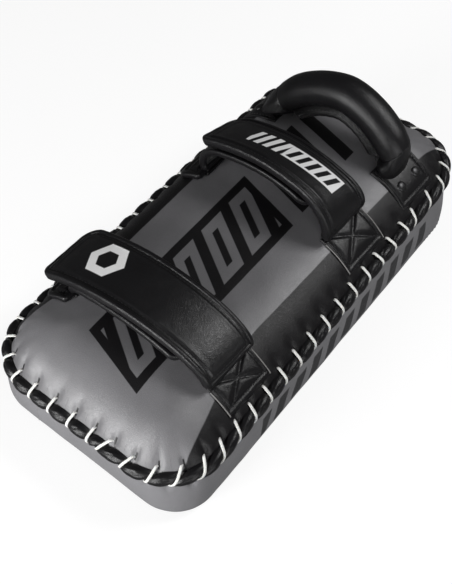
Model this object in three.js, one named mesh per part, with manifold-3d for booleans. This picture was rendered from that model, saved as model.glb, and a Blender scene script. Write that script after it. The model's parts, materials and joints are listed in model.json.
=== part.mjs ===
// A thai (kick) pad: a foam body in laced leather, two forearm closures and a padded handle.
// Millimetres. The origin is the centre of the strike face, +Y points to the handle end, +Z to the strap side.
import * as THREE from 'three';
import { mergeVertices } from 'three/addons/utils/BufferGeometryUtils.js';
import Module from 'manifold-3d';

// ---------- driving dimensions ----------
const LENGTH = 390; // plan size of the body along Y, at the rim
const WIDTH = 192; // plan size along X, at mid length
const TAPER = 0.06; // share of the half width lost from the middle to the handle end
const RIM_CORNER = 48; // plan corner radius at the rim
const FACE_CORNER = 34; // plan corner radius at the strike face
const RIM_HEIGHT = 64; // height of the rim at mid length
const RIM_RISE = 11; // rim height gained from the middle to the handle end
const DOME_RISE = 32; // how far the padded back stands above the rim
const DOME_POWER = 4.4; // how quickly the back rises from the rim
const LEATHER = 2; // thickness of the body's leather
const THIN_LEATHER = 1; // thickness of strap and patch leather
const GAP = 0.3; // clearance between neighbouring pieces
const WALL_INSET = 1.5; // upright part of the wall, measured in from the plan outline
const EDGE_ROUND = 17; // rounding between the walls and the strike face
const SEAM_LOW = 5; // height of the strike face seam at the near end
const SEAM_RISE = 9; // extra seam height at the handle end

const WELT_INSET = 3; // rim binding centre, measured in from the plan outline
const WELT_RADIUS = 6.5;
const WELT_THICKNESS = 1.5;
const FILLER_RADIUS = 2.1;
const LACE_TURNS = 58;
const LACE_RADIUS = 9.3; // radius of each cord turn round the rim
const LACE_THICKNESS = 1.6;
const LACE_WIDTH = 3.2;
const LACE_STEPS = 6; // straight steps in each turn of the cord

const STRAP_THICKNESS = 8;
const UNDER_THICKNESS = 6;
const BINDING_LIP = 5; // how far the edge binding reaches over a strap
const BINDING_WALL = 1;
const TAPE = 1; // thickness of hook or loop tape
const TAPE_MARGIN = 9; // bare strap left beside the tape
const HOOK_SHARES = [0.45, 0.93]; // stretch of the top strap that carries the hook tape
const LOOP_SHARES = [0.42, 0.9]; // stretch of the under strap that carries the loop tape

const LOWER = {
  centre: -100.5,
  foldHalfWidth: 26,
  halfWidth: 28.5,
  twist: 0, // lift of the strap's far edge over its near edge, per millimetre of width
  // [x, z] points along the middle of each strap, from its fold to its free end
  top: [
    [69, 87.5], [67, 95], [60, 102], [47, 109], [28, 114],
    [3, 116.5], [-25, 115], [-47, 111], [-70, 104], [-89, 95],
  ],
  under: [
    [-63, 92], [-61.5, 96.5], [-56, 100], [-46, 102.5],
    [-25, 105.8], [3, 107.3], [28, 105], [45, 100.5],
  ],
};
const UPPER = {
  centre: 51,
  foldHalfWidth: 25,
  halfWidth: 25.5,
  twist: -0.28,
  top: [
    [59, 99], [60, 107], [57, 115], [48.5, 124], [34, 131],
    [3, 137], [-20, 136], [-44, 131], [-62, 124.5],
  ],
  under: [
    [-60, 98], [-62, 106], [-60, 113], [-53, 118.5], [-44, 121.5],
    [-20, 126.5], [3, 127.5], [28, 123], [40, 117],
  ],
};
const PATCH_HALF_WIDTH = 23;
const PATCH_THICKNESS = 1.6;
const PATCH_EDGE_INSET = 12.8; // outer edge of every patch, just inside the lacing

const HANDLE = {
  y: 123.5, // line through both bases
  baseHeight: 99,
  halfSpan: 58.5,
  centreX: 5,
  topHeight: 142,
  lean: 0.18, // slope of the arch towards the handle end
  radius: 14.8,
  power: 1.2, // slight point of the arch
};
const HANDLE_SHELL = 1.6;
const WEBBING_RADIUS = 4; // load-carrying core of the handle
const FIN_ANGLE = 0.75; // where the fin seam leaves the sleeve, from the inside towards the straps
const FIN_WIDTH = 6;
const FIN_THICKNESS = 2.8;
const TAB_Y = 126;
const TAB_INNER_X = 48;
const TAB_HALF_WIDTH = 21;
const RIVET_X = 72;
const RIVET_RADIUS = 4.6;
const RIVET_HEIGHT = 2.2;
const RIVET_SPACING = 20;
const RIVET_SEAT = 1.5; // clearance under a rivet, which stands on a curved tab

// ---------- materials ----------
const finish = (color, roughness) => new THREE.MeshStandardMaterial({ color, roughness, metalness: 0 });
const GREY_LEATHER = finish(0x6b6b6d, 0.45);
const BLACK_LEATHER = finish(0x161617, 0.42);
const DULL_LINING = finish(0x1d1d1e, 0.8);
const FOAM = finish(0x3c3c40, 0.9);
const CORD = finish(0xeeebe3, 0.7);
const WEBBING = finish(0x222224, 0.85);
const SNAP_METAL = new THREE.MeshStandardMaterial({ color: 0x1b1b1c, roughness: 0.35, metalness: 0.6 });

const pad = new THREE.Group();
function addPart(name, geometry, material) {
  const mesh = new THREE.Mesh(geometry, material);
  mesh.name = name;
  pad.add(mesh);
}

// ---------- solids ----------
const manifold = await Module();
manifold.setup();

function signedVolume(geometry) {
  const position = geometry.getAttribute('position');
  const corner = [new THREE.Vector3(), new THREE.Vector3(), new THREE.Vector3()];
  let volume = 0;
  for (let i = 0; i < geometry.index.count; i += 3) {
    corner.forEach((v, k) => v.fromBufferAttribute(position, geometry.index.getX(i + k)));
    volume += corner[0].dot(corner[1].clone().cross(corner[2])) / 6;
  }
  return volume;
}

/** Shares the vertices, drops triangles that have collapsed to a line, and turns the faces outward. */
function closedGeometry(geometry) {
  geometry.deleteAttribute('normal');
  geometry.deleteAttribute('uv');
  const merged = mergeVertices(geometry, 1e-3);
  const index = Array.from(merged.index.array);
  const kept = [];
  for (let i = 0; i < index.length; i += 3) {
    const [a, b, c] = index.slice(i, i + 3);
    if (a !== b && b !== c && a !== c) kept.push(a, b, c);
  }
  merged.setIndex(kept);
  if (signedVolume(merged) < 0) {
    for (let i = 0; i < kept.length; i += 3) [kept[i], kept[i + 1]] = [kept[i + 1], kept[i]];
    merged.setIndex(kept);
  }
  return merged;
}

function toSolid(geometry) {
  const closed = closedGeometry(geometry);
  const mesh = new manifold.Mesh({
    numProp: 3,
    vertProperties: new Float32Array(closed.getAttribute('position').array),
    triVerts: new Uint32Array(closed.index.array),
  });
  return new manifold.Manifold(mesh);
}

function fromSolid(solid) {
  const mesh = solid.getMesh();
  const geometry = new THREE.BufferGeometry();
  geometry.setAttribute('position', new THREE.BufferAttribute(new Float32Array(mesh.vertProperties), 3));
  geometry.setIndex(Array.from(mesh.triVerts));
  return geometry;
}

const cut = (geometry, ...tools) =>
  fromSolid(tools.reduce((solid, tool) => solid.subtract(toSolid(tool)), toSolid(geometry)));

/**
 * Skins a list of rings of points, splitting each quad along its shorter diagonal.
 * A looped loft joins its last ring to its first; any other is capped.
 */
function loft(rings, looped = false) {
  const points = rings.flat();
  const count = rings[0].length;
  const index = [];
  const rows = looped ? rings.length : rings.length - 1;
  for (let row = 0; row < rows; row++) {
    const next = (row + 1) % rings.length;
    for (let i = 0; i < count; i++) {
      const j = (i + 1) % count;
      const [a, b, c, d] = [row * count + i, row * count + j, next * count + j, next * count + i];
      if (points[a].distanceTo(points[c]) <= points[b].distanceTo(points[d])) index.push(a, b, c, a, c, d);
      else index.push(a, b, d, b, c, d);
    }
  }
  if (!looped) {
    [0, rings.length - 1].forEach((row) => {
      const middle = rings[row].reduce((sum, p) => sum.add(p), new THREE.Vector3()).divideScalar(count);
      const hub = points.push(middle) - 1;
      for (let i = 0; i < count; i++) {
        const j = (i + 1) % count;
        if (row === 0) index.push(hub, row * count + j, row * count + i);
        else index.push(hub, row * count + i, row * count + j);
      }
    });
  }
  const geometry = new THREE.BufferGeometry().setFromPoints(points);
  geometry.setIndex(index);
  return closedGeometry(geometry);
}

// ---------- shape of the body ----------
const HALF_LENGTH = LENGTH / 2;
const SIDE_RUN = LENGTH - 2 * RIM_CORNER;
const END_RUN = WIDTH - 2 * RIM_CORNER;
const CORNER_RUN = (RIM_CORNER * Math.PI) / 2;
const PERIMETER = 2 * (SIDE_RUN + END_RUN) + 4 * CORNER_RUN;
const BODY_STEPS = 56;

const narrowing = (y) => 1 - (TAPER * y) / HALF_LENGTH;
const rimHeight = (y) => RIM_HEIGHT + (RIM_RISE * y) / HALF_LENGTH;

/** A place on the rounded plan outline. turn runs 0 to 1, anticlockwise from the middle of the right side. */
function outlineStation(turn, corner) {
  const wrapped = ((turn % 1) + 1) % 1;
  const half = Math.min(wrapped, 1 - wrapped);
  const ySign = wrapped < 0.5 ? 1 : -1;
  const xSign = half < 0.25 ? 1 : -1;
  const along = Math.min(half, 0.5 - half) * PERIMETER;
  const centreX = WIDTH / 2 - corner;
  const centreY = HALF_LENGTH - corner;
  const sideShare = Math.min(along / (SIDE_RUN / 2), 1);
  const angle = THREE.MathUtils.clamp((along - SIDE_RUN / 2) / RIM_CORNER, 0, Math.PI / 2);
  const endShare = Math.max((along - SIDE_RUN / 2 - CORNER_RUN) / (END_RUN / 2), 0);
  return {
    base: new THREE.Vector2(xSign * centreX * (1 - endShare), ySign * centreY * sideShare),
    out: new THREE.Vector2(xSign * Math.cos(angle), ySign * Math.sin(angle)),
    corner,
  };
}

/** A point a given distance in from the outline; shrink pulls it on towards the centre. */
function insetPoint(turn, inset, corner = RIM_CORNER, shrink = 1) {
  const station = outlineStation(turn, corner);
  const flat = station.base.clone().addScaledVector(station.out, corner - inset).multiplyScalar(shrink);
  return new THREE.Vector3(flat.x * narrowing(flat.y), flat.y, 0);
}

/** How far a plan point lies inside the rim outline. */
function inboard(x, y) {
  const qx = Math.abs(x) / narrowing(y) - (WIDTH / 2 - RIM_CORNER);
  const qy = Math.abs(y) - (HALF_LENGTH - RIM_CORNER);
  return RIM_CORNER - Math.hypot(Math.max(qx, 0), Math.max(qy, 0)) - Math.min(Math.max(qx, qy), 0);
}

/** Height of the padded back's leather. */
function backHeight(x, y) {
  const span = WIDTH / 2 - WELT_INSET;
  const share = THREE.MathUtils.clamp((inboard(x, y) - WELT_INSET) / span, 0, 1);
  return rimHeight(y) + DOME_RISE * (1 - (1 - share) ** DOME_POWER);
}

/** Outward direction of the padded back's leather. */
function backNormal(x, y) {
  const fallX = backHeight(x - 1, y) - backHeight(x + 1, y);
  const fallY = backHeight(x, y - 1) - backHeight(x, y + 1);
  return new THREE.Vector3(fallX, fallY, 2).normalize();
}

/** One closed ring round the body. height is a function of the plan point. */
function bodyRing(inset, height, corner = RIM_CORNER, shrink = 1) {
  return Array.from({ length: BODY_STEPS }, (_, i) => {
    const point = insetPoint(i / BODY_STEPS, inset, corner, shrink);
    point.z = height(point.x, point.y);
    return point;
  });
}

const level = (z) => () => z;
const cornerAt = (z) => THREE.MathUtils.lerp(FACE_CORNER, RIM_CORNER, Math.min(z / RIM_HEIGHT, 1));

/** How far the outside of the wall lies in from the plan outline at a height above the strike face. */
function wallInset(z) {
  const drop = Math.max(EDGE_ROUND - z, 0);
  return WALL_INSET + EDGE_ROUND - Math.sqrt(EDGE_ROUND ** 2 - drop ** 2);
}

const wallRing = (z, depth) => bodyRing(wallInset(z) + depth, level(z), cornerAt(z));

/** Height of the seam between the strike face leather and the wall. */
function seamHeight(y) {
  return SEAM_LOW + SEAM_RISE * THREE.MathUtils.smoothstep(y, HALF_LENGTH / 2, HALF_LENGTH);
}

/** A wall ring whose height follows the seam, shifted, or a share of the way to the upright wall. */
function seamRing(shift, depth, share = 0) {
  return Array.from({ length: BODY_STEPS }, (_, i) => {
    const seam = THREE.MathUtils.lerp(seamHeight(insetPoint(i / BODY_STEPS, 0).y) + shift, EDGE_ROUND, share);
    const point = insetPoint(i / BODY_STEPS, wallInset(seam) + depth, cornerAt(seam));
    point.z = seam;
    return point;
  });
}

// ---------- lacing ----------
/** One long cord wound round the rim. swell makes it fatter, for the punched holes it passes through. */
function lacing(swell) {
  const steps = LACE_TURNS * LACE_STEPS;
  const rings = Array.from({ length: steps }, (_, i) => {
    const turn = i / steps;
    const angle = (2 * Math.PI * i) / LACE_STEPS + Math.PI / LACE_STEPS;
    const station = outlineStation(turn, RIM_CORNER);
    const along = new THREE.Vector3(-station.out.y, station.out.x, 0);
    const step = turn * BODY_STEPS;
    const centre = insetPoint(Math.floor(step) / BODY_STEPS, WELT_INSET)
      .lerp(insetPoint(Math.ceil(step) / BODY_STEPS, WELT_INSET), step % 1);
    centre.z = rimHeight(centre.y);
    const radial = new THREE.Vector3(station.out.x, station.out.y, 0).multiplyScalar(Math.cos(angle));
    radial.z = Math.sin(angle);
    return [[-1, -1], [1, -1], [1, 1], [-1, 1]].map(([side, rise]) =>
      centre.clone()
        .addScaledVector(radial, LACE_RADIUS + rise * (LACE_THICKNESS / 2 + swell))
        .addScaledVector(along, side * (LACE_WIDTH / 2 + swell)));
  });
  return loft(rings, true);
}

const laceHoles = lacing(GAP);
addPart('lacing_cord', lacing(0), CORD);

// ---------- leather body ----------
const WALL_TUCK = 3; // the wall's top edge lies this far below the middle of the rim binding

/** The strike face leather is a shallow tray: a flat sheet with a turned-up edge. */
function strikeFaceCover() {
  const sheetTop = bodyRing(wallInset(0), level(LEATHER), FACE_CORNER);
  const sheetBottom = bodyRing(wallInset(0), level(0), FACE_CORNER);
  return loft([
    sheetBottom,
    wallRing(1.6, 0),
    seamRing(-GAP / 2, 0),
    seamRing(-GAP / 2, LEATHER),
    wallRing(2.6, LEATHER),
    sheetTop,
  ]);
}
addPart('strike_face_cover', strikeFaceCover(), BLACK_LEATHER);

/** The wall follows the pad's side from the strike face seam up into the rim binding. */
function sideWall() {
  const topRing = (depth) => bodyRing(WALL_INSET + depth, (x, y) => rimHeight(y) - WALL_TUCK);
  const side = (depth) => [0, 0.5, 1].map((share) => seamRing(GAP / 2, depth, share));
  return loft([...side(0), topRing(0), topRing(LEATHER), ...side(LEATHER).reverse()], true);
}
addPart('side_wall', cut(sideWall(), laceHoles), GREY_LEATHER);

const FOAM_INSET = 15.5; // foam behind the lacing starts this far in from the plan outline
const FLAT_INSET = 40; // from here on in the rings of the back only shrink towards the centre
const BACK_RINGS = [ // [inset, shrink] of each ring
  [4.6, 1], [9, 1], [FOAM_INSET, 1], [24, 1], [38, 1], [FLAT_INSET, 0.7], [FLAT_INSET, 0.35],
];
const BACK_DROP = 2.6; // vertical thickness of the back leather, more than its true thickness on the slope

function backCover() {
  const outer = BACK_RINGS.map(([inset, shrink]) => bodyRing(inset, backHeight, RIM_CORNER, shrink));
  const lower = (x, y) => backHeight(x, y) - BACK_DROP;
  const inner = BACK_RINGS.map(([inset, shrink]) => bodyRing(inset, lower, RIM_CORNER, shrink));
  return loft([...outer.reverse(), ...inner]);
}
addPart('back_cover', cut(backCover(), laceHoles), GREY_LEATHER);

/** Rings that sweep a closed outline, given as [outward, up] pairs, round the rim. */
function rimSweep(section) {
  const rings = section.map(([out, up]) => bodyRing(WELT_INSET - out, (x, y) => rimHeight(y) + up));
  return loft(rings, true);
}

function rimBinding() {
  const arc = (radius) => Array.from({ length: 5 }, (_, i) => {
    const angle = THREE.MathUtils.degToRad(-65 + 45 * i);
    return [radius * Math.cos(angle), radius * Math.sin(angle)];
  });
  return rimSweep([...arc(WELT_RADIUS), ...arc(WELT_RADIUS - WELT_THICKNESS).reverse()]);
}
addPart('rim_binding', rimBinding(), BLACK_LEATHER);

function rimFiller() {
  const section = Array.from({ length: 6 }, (_, i) => {
    const angle = (Math.PI * i) / 3;
    return [FILLER_RADIUS + 0.3 + FILLER_RADIUS * Math.cos(angle), FILLER_RADIUS * Math.sin(angle)];
  });
  return rimSweep(section);
}
addPart('rim_filler_cord', rimFiller(), WEBBING);

// ---------- foam ----------
const FOAM_CLEARANCE = LEATHER + 1.5; // from the outside of the wall to the foam, seam allowance included
const FOAM_ROUND = [[LEATHER + 2 * GAP, 8], [9, 5], [EDGE_ROUND, 3]]; // [height, depth] of the rounded edge
const SHEET_TOPS = [20, 37]; // top faces of the two flat foam sheets
const LACE_ROOM = 13.5; // corner left free of foam behind the lacing

function foamSheet(top, lowerRings) {
  const lower = lowerRings.map(([height, depth]) => wallRing(height, depth));
  return loft([...lower, wallRing(top, FOAM_CLEARANCE)]);
}
addPart('foam_front', foamSheet(SHEET_TOPS[0], [...FOAM_ROUND, [EDGE_ROUND + 1, FOAM_CLEARANCE]]), FOAM);
addPart('foam_middle', foamSheet(SHEET_TOPS[1], [[SHEET_TOPS[0] + GAP, FOAM_CLEARANCE]]), FOAM);

function foamBack() {
  const side = WALL_INSET + FOAM_CLEARANCE;
  return loft([
    bodyRing(side, level(SHEET_TOPS[1] + GAP), cornerAt(SHEET_TOPS[1])),
    bodyRing(side, (x, y) => rimHeight(y) - LACE_ROOM),
    bodyRing(FOAM_INSET, (x, y) => rimHeight(y) - WALL_TUCK),
  ]);
}
addPart('foam_back', foamBack(), FOAM);

function forearmCushion() {
  const under = (x, y) => backHeight(x, y) - BACK_DROP - 2 * GAP;
  const rings = BACK_RINGS.slice(3).map(([inset, shrink]) => bodyRing(inset, under, RIM_CORNER, shrink));
  const base = bodyRing(FOAM_INSET, (x, y) => rimHeight(y) - WALL_TUCK + GAP);
  return loft([base, bodyRing(FOAM_INSET, under), ...rings]);
}
addPart('forearm_cushion', forearmCushion(), FOAM);

// ---------- straps ----------
const STRAP_STEPS = 16;
const TWIST_FADE = 0.3; // share of a strap, from its fold, over which its twist builds up

/** A curve in the XZ plane through [x, z] pairs. */
function profileCurve(points) {
  return new THREE.CatmullRomCurve3(points.map(([x, z]) => new THREE.Vector3(x, 0, z)));
}

/**
 * A padded strap that follows a profile curve from its fold to its free end: leather, foam and lining,
 * and the channel of binding folded round its edges.
 * up is 1 where the curve's left side faces away from the pad, else -1.
 */
function paddedStrap(name, closure, points, thickness, up) {
  const curve = profileCurve(points);
  const length = curve.getLength();
  const half = thickness / 2;

  /** A block between two shares of the curve's length and two heights above it, margin narrower each side. */
  const block = ([from, to], low, high, margin) => {
    const stations = Array.from({ length: STRAP_STEPS + 1 }, (_, i) => i / STRAP_STEPS);
    const least = 0.2 / STRAP_STEPS;
    const shares = [from, ...stations.filter((share) => share > from + least && share < to - least), to];
    const rings = shares.map((share) => {
      const point = curve.getPointAt(share);
      const tangent = curve.getTangentAt(share);
      const twist = closure.twist * THREE.MathUtils.smoothstep(share, 0, TWIST_FADE);
      const reach = THREE.MathUtils.lerp(closure.foldHalfWidth, closure.halfWidth, share) - margin;
      return [[low, -1], [high, -1], [high, 1], [low, 1]].map(([height, end]) => new THREE.Vector3(
        point.x - tangent.z * height * up,
        closure.centre + end * reach,
        point.z + tangent.x * height * up + twist * end * reach,
      ));
    });
    return loft(rings);
  };

  const trim = (distance) => [distance / length, 1 - distance / length];
  const skin = half - BINDING_WALL - GAP;
  const edge = BINDING_WALL + GAP;
  addPart(`${name}_outer`, block(trim(edge), skin - THIN_LEATHER, skin, edge), BLACK_LEATHER);
  addPart(`${name}_foam`, block(trim(edge), GAP + THIN_LEATHER - skin, skin - THIN_LEATHER - GAP, edge), FOAM);
  addPart(`${name}_lining`, block(trim(edge), -skin, THIN_LEATHER - skin, edge), DULL_LINING);
  const shell = block([0, 1], -half, half, 0);
  const room = block(trim(BINDING_WALL), -skin - GAP, skin + GAP, BINDING_WALL);
  const window = block(trim(BINDING_LIP), -half - 1, half + 1, BINDING_LIP);
  addPart(`${name}_binding`, cut(shell, room, window), BLACK_LEATHER);
  return { block, skin };
}

/** A patch sewn to the padded back: it follows the back between two X values. */
function anchorPatch(xFrom, xTo, centre, halfWidth) {
  const across = 6;
  const rows = 4;
  const sheet = (lift) => (x, y) => new THREE.Vector3(x, y, backHeight(x, y) + lift);
  const rings = Array.from({ length: across + 1 }, (_, i) => {
    const x = THREE.MathUtils.lerp(xFrom, xTo, i / across);
    const ys = Array.from({ length: rows + 1 }, (_, j) => centre + halfWidth * ((2 * j) / rows - 1));
    return [
      ...ys.map((y) => sheet(2 * GAP)(x, y)),
      ...ys.reverse().map((y) => sheet(2 * GAP + PATCH_THICKNESS)(x, y)),
    ];
  });
  return loft(rings);
}

const patchOuterX = (y) => (WIDTH / 2 - PATCH_EDGE_INSET) * narrowing(y);

function closure(name, sizes) {
  const top = paddedStrap(`${name}_strap`, sizes, sizes.top, STRAP_THICKNESS, -1);
  const hook = top.block(HOOK_SHARES, -top.skin - GAP - TAPE, -top.skin - GAP, TAPE_MARGIN);
  addPart(`${name}_strap_hook_patch`, hook, WEBBING);
  const under = paddedStrap(`${name}_under_strap`, sizes, sizes.under, UNDER_THICKNESS, 1);
  const loop = under.block(LOOP_SHARES, under.skin + GAP, under.skin + GAP + TAPE, TAPE_MARGIN);
  addPart(`${name}_under_strap_loop_patch`, loop, WEBBING);
  const outerX = patchOuterX(sizes.centre);
  const patch = (xFrom, xTo) => anchorPatch(xFrom, xTo, sizes.centre, PATCH_HALF_WIDTH);
  addPart(`${name}_strap_anchor_patch`, patch(sizes.top[0][0], outerX), BLACK_LEATHER);
  addPart(`${name}_under_strap_anchor_patch`, patch(-outerX, sizes.under[0][0]), BLACK_LEATHER);
}
closure('lower', LOWER);
closure('upper', UPPER);

// ---------- handle ----------
/** Centre line of the handle: a slightly pointed arch from the left base to the right base. */
class HandleArch extends THREE.Curve {
  getPoint(share, target = new THREE.Vector3()) {
    const angle = Math.PI * (1 - share);
    const x = Math.sign(Math.cos(angle)) * Math.abs(Math.cos(angle)) ** HANDLE.power;
    const rise = (HANDLE.topHeight - HANDLE.baseHeight) * Math.abs(Math.sin(angle)) ** HANDLE.power;
    return target.set(
      HANDLE.centreX + HANDLE.halfSpan * x, HANDLE.y + HANDLE.lean * rise, HANDLE.baseHeight + rise);
  }
}

const HANDLE_STEPS = 16;
const HANDLE_START = 0.09; // share of the arch below each end of the padded tube
const END_SIZES = [0.8, 0.97]; // the tube narrows at its last two rings, to leave room for the tilt

/** Rings round the arch; section gives [inward, towards the handle end] offsets for one ring. */
function archRings(section) {
  const arch = new HandleArch();
  const across = new THREE.Vector3(0, 1, HANDLE.lean).normalize();
  return Array.from({ length: HANDLE_STEPS + 1 }, (_, i) => {
    const share = THREE.MathUtils.lerp(HANDLE_START, 1 - HANDLE_START, i / HANDLE_STEPS);
    const fromEnd = Math.min(i, HANDLE_STEPS - i);
    const size = END_SIZES[fromEnd] ?? 1;
    const centre = arch.getPointAt(share);
    const inward = across.clone().cross(arch.getTangentAt(share)).normalize();
    return section.map(([inner, along]) =>
      centre.clone().addScaledVector(inward, inner * size).addScaledVector(across, along * size));
  });
}

function circleSection(radius, count) {
  return Array.from({ length: count }, (_, i) => {
    const angle = (2 * Math.PI * i) / count;
    return [radius * Math.cos(angle), radius * Math.sin(angle)];
  });
}

function handleTube(outer, inner) {
  const count = 12;
  const outside = archRings(circleSection(outer, count));
  if (!inner) return loft(outside);
  const inside = archRings(circleSection(inner, count)).reverse();
  return loft([...outside, ...inside], true);
}

const HANDLE_BORE = HANDLE.radius - HANDLE_SHELL;
/** The fin seam: a flat flange that stands off the inside of the sleeve. */
function finSeam() {
  const away = [Math.cos(FIN_ANGLE), -Math.sin(FIN_ANGLE)];
  const sideways = [Math.sin(FIN_ANGLE), Math.cos(FIN_ANGLE)];
  const corner = (distance, offset) => away.map((a, k) => a * distance + sideways[k] * offset);
  const near = HANDLE.radius + GAP;
  const far = near + FIN_WIDTH;
  const edge = FIN_THICKNESS / 2;
  const section = [corner(near, -edge), corner(far, -edge), corner(far, edge), corner(near, edge)];
  return loft(archRings(section).slice(2, -2));
}

addPart('handle_sleeve', handleTube(HANDLE.radius, HANDLE_BORE), BLACK_LEATHER);
addPart('handle_foam_core', handleTube(HANDLE_BORE - GAP, WEBBING_RADIUS + GAP), FOAM);
addPart('handle_webbing_core', loft(archRings(circleSection(WEBBING_RADIUS, 8))), WEBBING);
addPart('handle_fin_seam', finSeam(), BLACK_LEATHER);

function handleTabs() {
  [['right', 1], ['left', -1]].forEach(([name, side]) => {
    const inner = side * TAB_INNER_X;
    const outer = side * patchOuterX(TAB_Y);
    const xs = side > 0 ? [inner, outer] : [outer, inner];
    addPart(`handle_tab_${name}`, anchorPatch(...xs, TAB_Y, TAB_HALF_WIDTH), BLACK_LEATHER);
    [-1, 1].forEach((end) => {
      const x = side * RIVET_X;
      const y = TAB_Y + (end * RIVET_SPACING) / 2;
      const slope = backNormal(x, y);
      const rivet = new THREE.CylinderGeometry(RIVET_RADIUS * 0.7, RIVET_RADIUS, RIVET_HEIGHT, 16);
      const foot = backHeight(x, y) + 2 * GAP + PATCH_THICKNESS + RIVET_SEAT;
      rivet.translate(0, RIVET_HEIGHT / 2, 0);
      rivet.applyQuaternion(new THREE.Quaternion().setFromUnitVectors(new THREE.Vector3(0, 1, 0), slope));
      rivet.translate(x, y, foot);
      addPart(`handle_rivet_${name}_${end < 0 ? 'near' : 'far'}`, closedGeometry(rivet), SNAP_METAL);
    });
  });
}
handleTabs();

export default pad;
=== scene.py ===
import json
import math

import bmesh
import bpy
import numpy as np
from mathutils import Euler, Matrix, Vector


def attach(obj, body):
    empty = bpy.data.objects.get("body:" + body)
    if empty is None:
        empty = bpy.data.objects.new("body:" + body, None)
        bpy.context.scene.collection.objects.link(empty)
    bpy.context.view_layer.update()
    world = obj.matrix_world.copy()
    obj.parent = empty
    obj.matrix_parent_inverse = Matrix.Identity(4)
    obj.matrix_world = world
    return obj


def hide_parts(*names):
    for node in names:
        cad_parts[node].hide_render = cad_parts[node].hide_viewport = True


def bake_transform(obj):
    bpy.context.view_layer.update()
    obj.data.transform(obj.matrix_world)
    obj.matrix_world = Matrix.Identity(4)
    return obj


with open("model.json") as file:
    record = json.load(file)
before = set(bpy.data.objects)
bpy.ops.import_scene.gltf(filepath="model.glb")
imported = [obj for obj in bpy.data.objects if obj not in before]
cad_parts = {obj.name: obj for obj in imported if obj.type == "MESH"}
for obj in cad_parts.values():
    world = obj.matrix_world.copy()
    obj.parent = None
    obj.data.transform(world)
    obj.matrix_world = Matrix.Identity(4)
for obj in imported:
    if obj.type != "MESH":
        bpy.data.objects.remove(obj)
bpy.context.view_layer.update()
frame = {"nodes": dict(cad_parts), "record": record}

MM = 0.001
RANDOM = np.random.default_rng(7)

# ---------- driving dimensions of the body, as in the frame ----------
HALF_LENGTH = 195.0
HALF_WIDTH = 96.0
TAPER = 0.06
RIM_CORNER = 48.0
FACE_CORNER = 34.0
RIM_HEIGHT = 64.0
RIM_RISE = 11.0
DOME_RISE = 32.0
DOME_POWER = 4.4
WALL_INSET = 1.5
EDGE_ROUND = 17.0
SEAM_LOW = 5.0
SEAM_RISE = 9.0
WELT_INSET = 3.0
WELT_RADIUS = 5.6
WELT_DROP = 0.9
SHOULDER_RISE = 3.5
CLOSING_SEAM_TURN = 0.7176
FLAT_INSET = 40.0
LEATHER = 2.0

# ---------- lacing ----------
LACES = 58
LACE_PHASE = 0.22
LACE_LEANS = ((3, 0.07), (6, -0.1), (16, 0.3), (45, 0.07), (46, 0.42), (48, 0.33), (51, 0.44), (52, 0.35),
              (53, 0.22), (58, 0.11))  # (before stitch, half lean)
LACE_SHIFTS = {6: -0.34, 7: -0.12, 45: -0.4, 46: -0.28, 47: -0.14, 48: -0.1}  # stitches near a shared hole
COVER_HOLE = 8.8
WALL_HOLE_DROP = 8.0
CORD_WIDTH = 2.2
CORD_THICKNESS = 1.35

SIDE_RUN = 2 * (HALF_LENGTH - RIM_CORNER)
END_RUN = 2 * (HALF_WIDTH - RIM_CORNER)
CORNER_RUN = RIM_CORNER * math.pi / 2
PERIMETER = 2 * (SIDE_RUN + END_RUN) + 4 * CORNER_RUN
LACE_PITCH = PERIMETER / LACES


# ---------- small mathematics ----------
def smooth(value, low, high):
    share = np.clip((value - low) / (high - low), 0.0, 1.0)
    return share * share * (3 - 2 * share)


def bump(value, width):
    return np.exp(-(value / width) ** 2)


def lerp(low, high, share):
    return low + (high - low) * share


def unit(vectors):
    return vectors / np.maximum(np.linalg.norm(vectors, axis=-1, keepdims=True), 1e-9)


def ripple(along, across, seed, scale):
    """A soft irregular wave between about -1 and 1, for leather that is never quite flat."""
    rng = np.random.default_rng(seed)
    total = np.zeros(np.broadcast(along, across).shape)
    for octave in range(5):
        turn = rng.uniform(0, 2 * math.pi)
        length = scale / (1 + 0.7 * octave)
        phase = rng.uniform(0, 2 * math.pi)
        heading = math.cos(turn) * along + math.sin(turn) * across
        total += np.sin(2 * math.pi * heading / length + phase) / (1 + 0.6 * octave)
    return total / 2.6


def spline(points, steps=24):
    """A centripetal curve through points, as a dense polyline."""
    points = np.array(points, float)
    first = 2 * points[0] - points[1]
    last = 2 * points[-1] - points[-2]
    padded = np.vstack([first, points, last])
    pieces = []
    for a, b, c, d in zip(padded, padded[1:], padded[2:], padded[3:]):
        gaps = [math.sqrt(np.linalg.norm(q - p)) for p, q in ((a, b), (b, c), (c, d))]
        leave = ((b - a) / gaps[0] - (c - a) / (gaps[0] + gaps[1]) + (c - b) / gaps[1]) * gaps[1]
        arrive = ((c - b) / gaps[1] - (d - b) / (gaps[1] + gaps[2]) + (d - c) / gaps[2]) * gaps[1]
        share = np.linspace(0, 1, steps, endpoint=False)[:, None]
        cubic = 2 * b - 2 * c + leave + arrive
        square = 3 * c - 3 * b - 2 * leave - arrive
        pieces.append(b + leave * share + square * share ** 2 + cubic * share ** 3)
    pieces.append(points[-1:])
    return np.vstack(pieces)


def lengths_along(path):
    return np.concatenate([[0], np.cumsum(np.linalg.norm(np.diff(path, axis=0), axis=1))])


def read_off(places, arc, rows):
    """Rows of values, given along an arc, at other places on it."""
    return np.stack([np.interp(places, arc, column) for column in rows.T], -1)


def resample(path, count):
    arc = lengths_along(path)
    return read_off(np.linspace(0, arc[-1], count), arc, path)


def circle(count):
    return np.arange(count) * 2 * math.pi / count


def power_keeping_sign(value, power):
    return np.sign(value) * np.abs(value) ** power


def with_height(flat, z=0.0):
    """Plan points or directions, with their heights."""
    return np.concatenate([flat, np.broadcast_to(z, flat.shape[:-1])[..., None]], -1)


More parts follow.
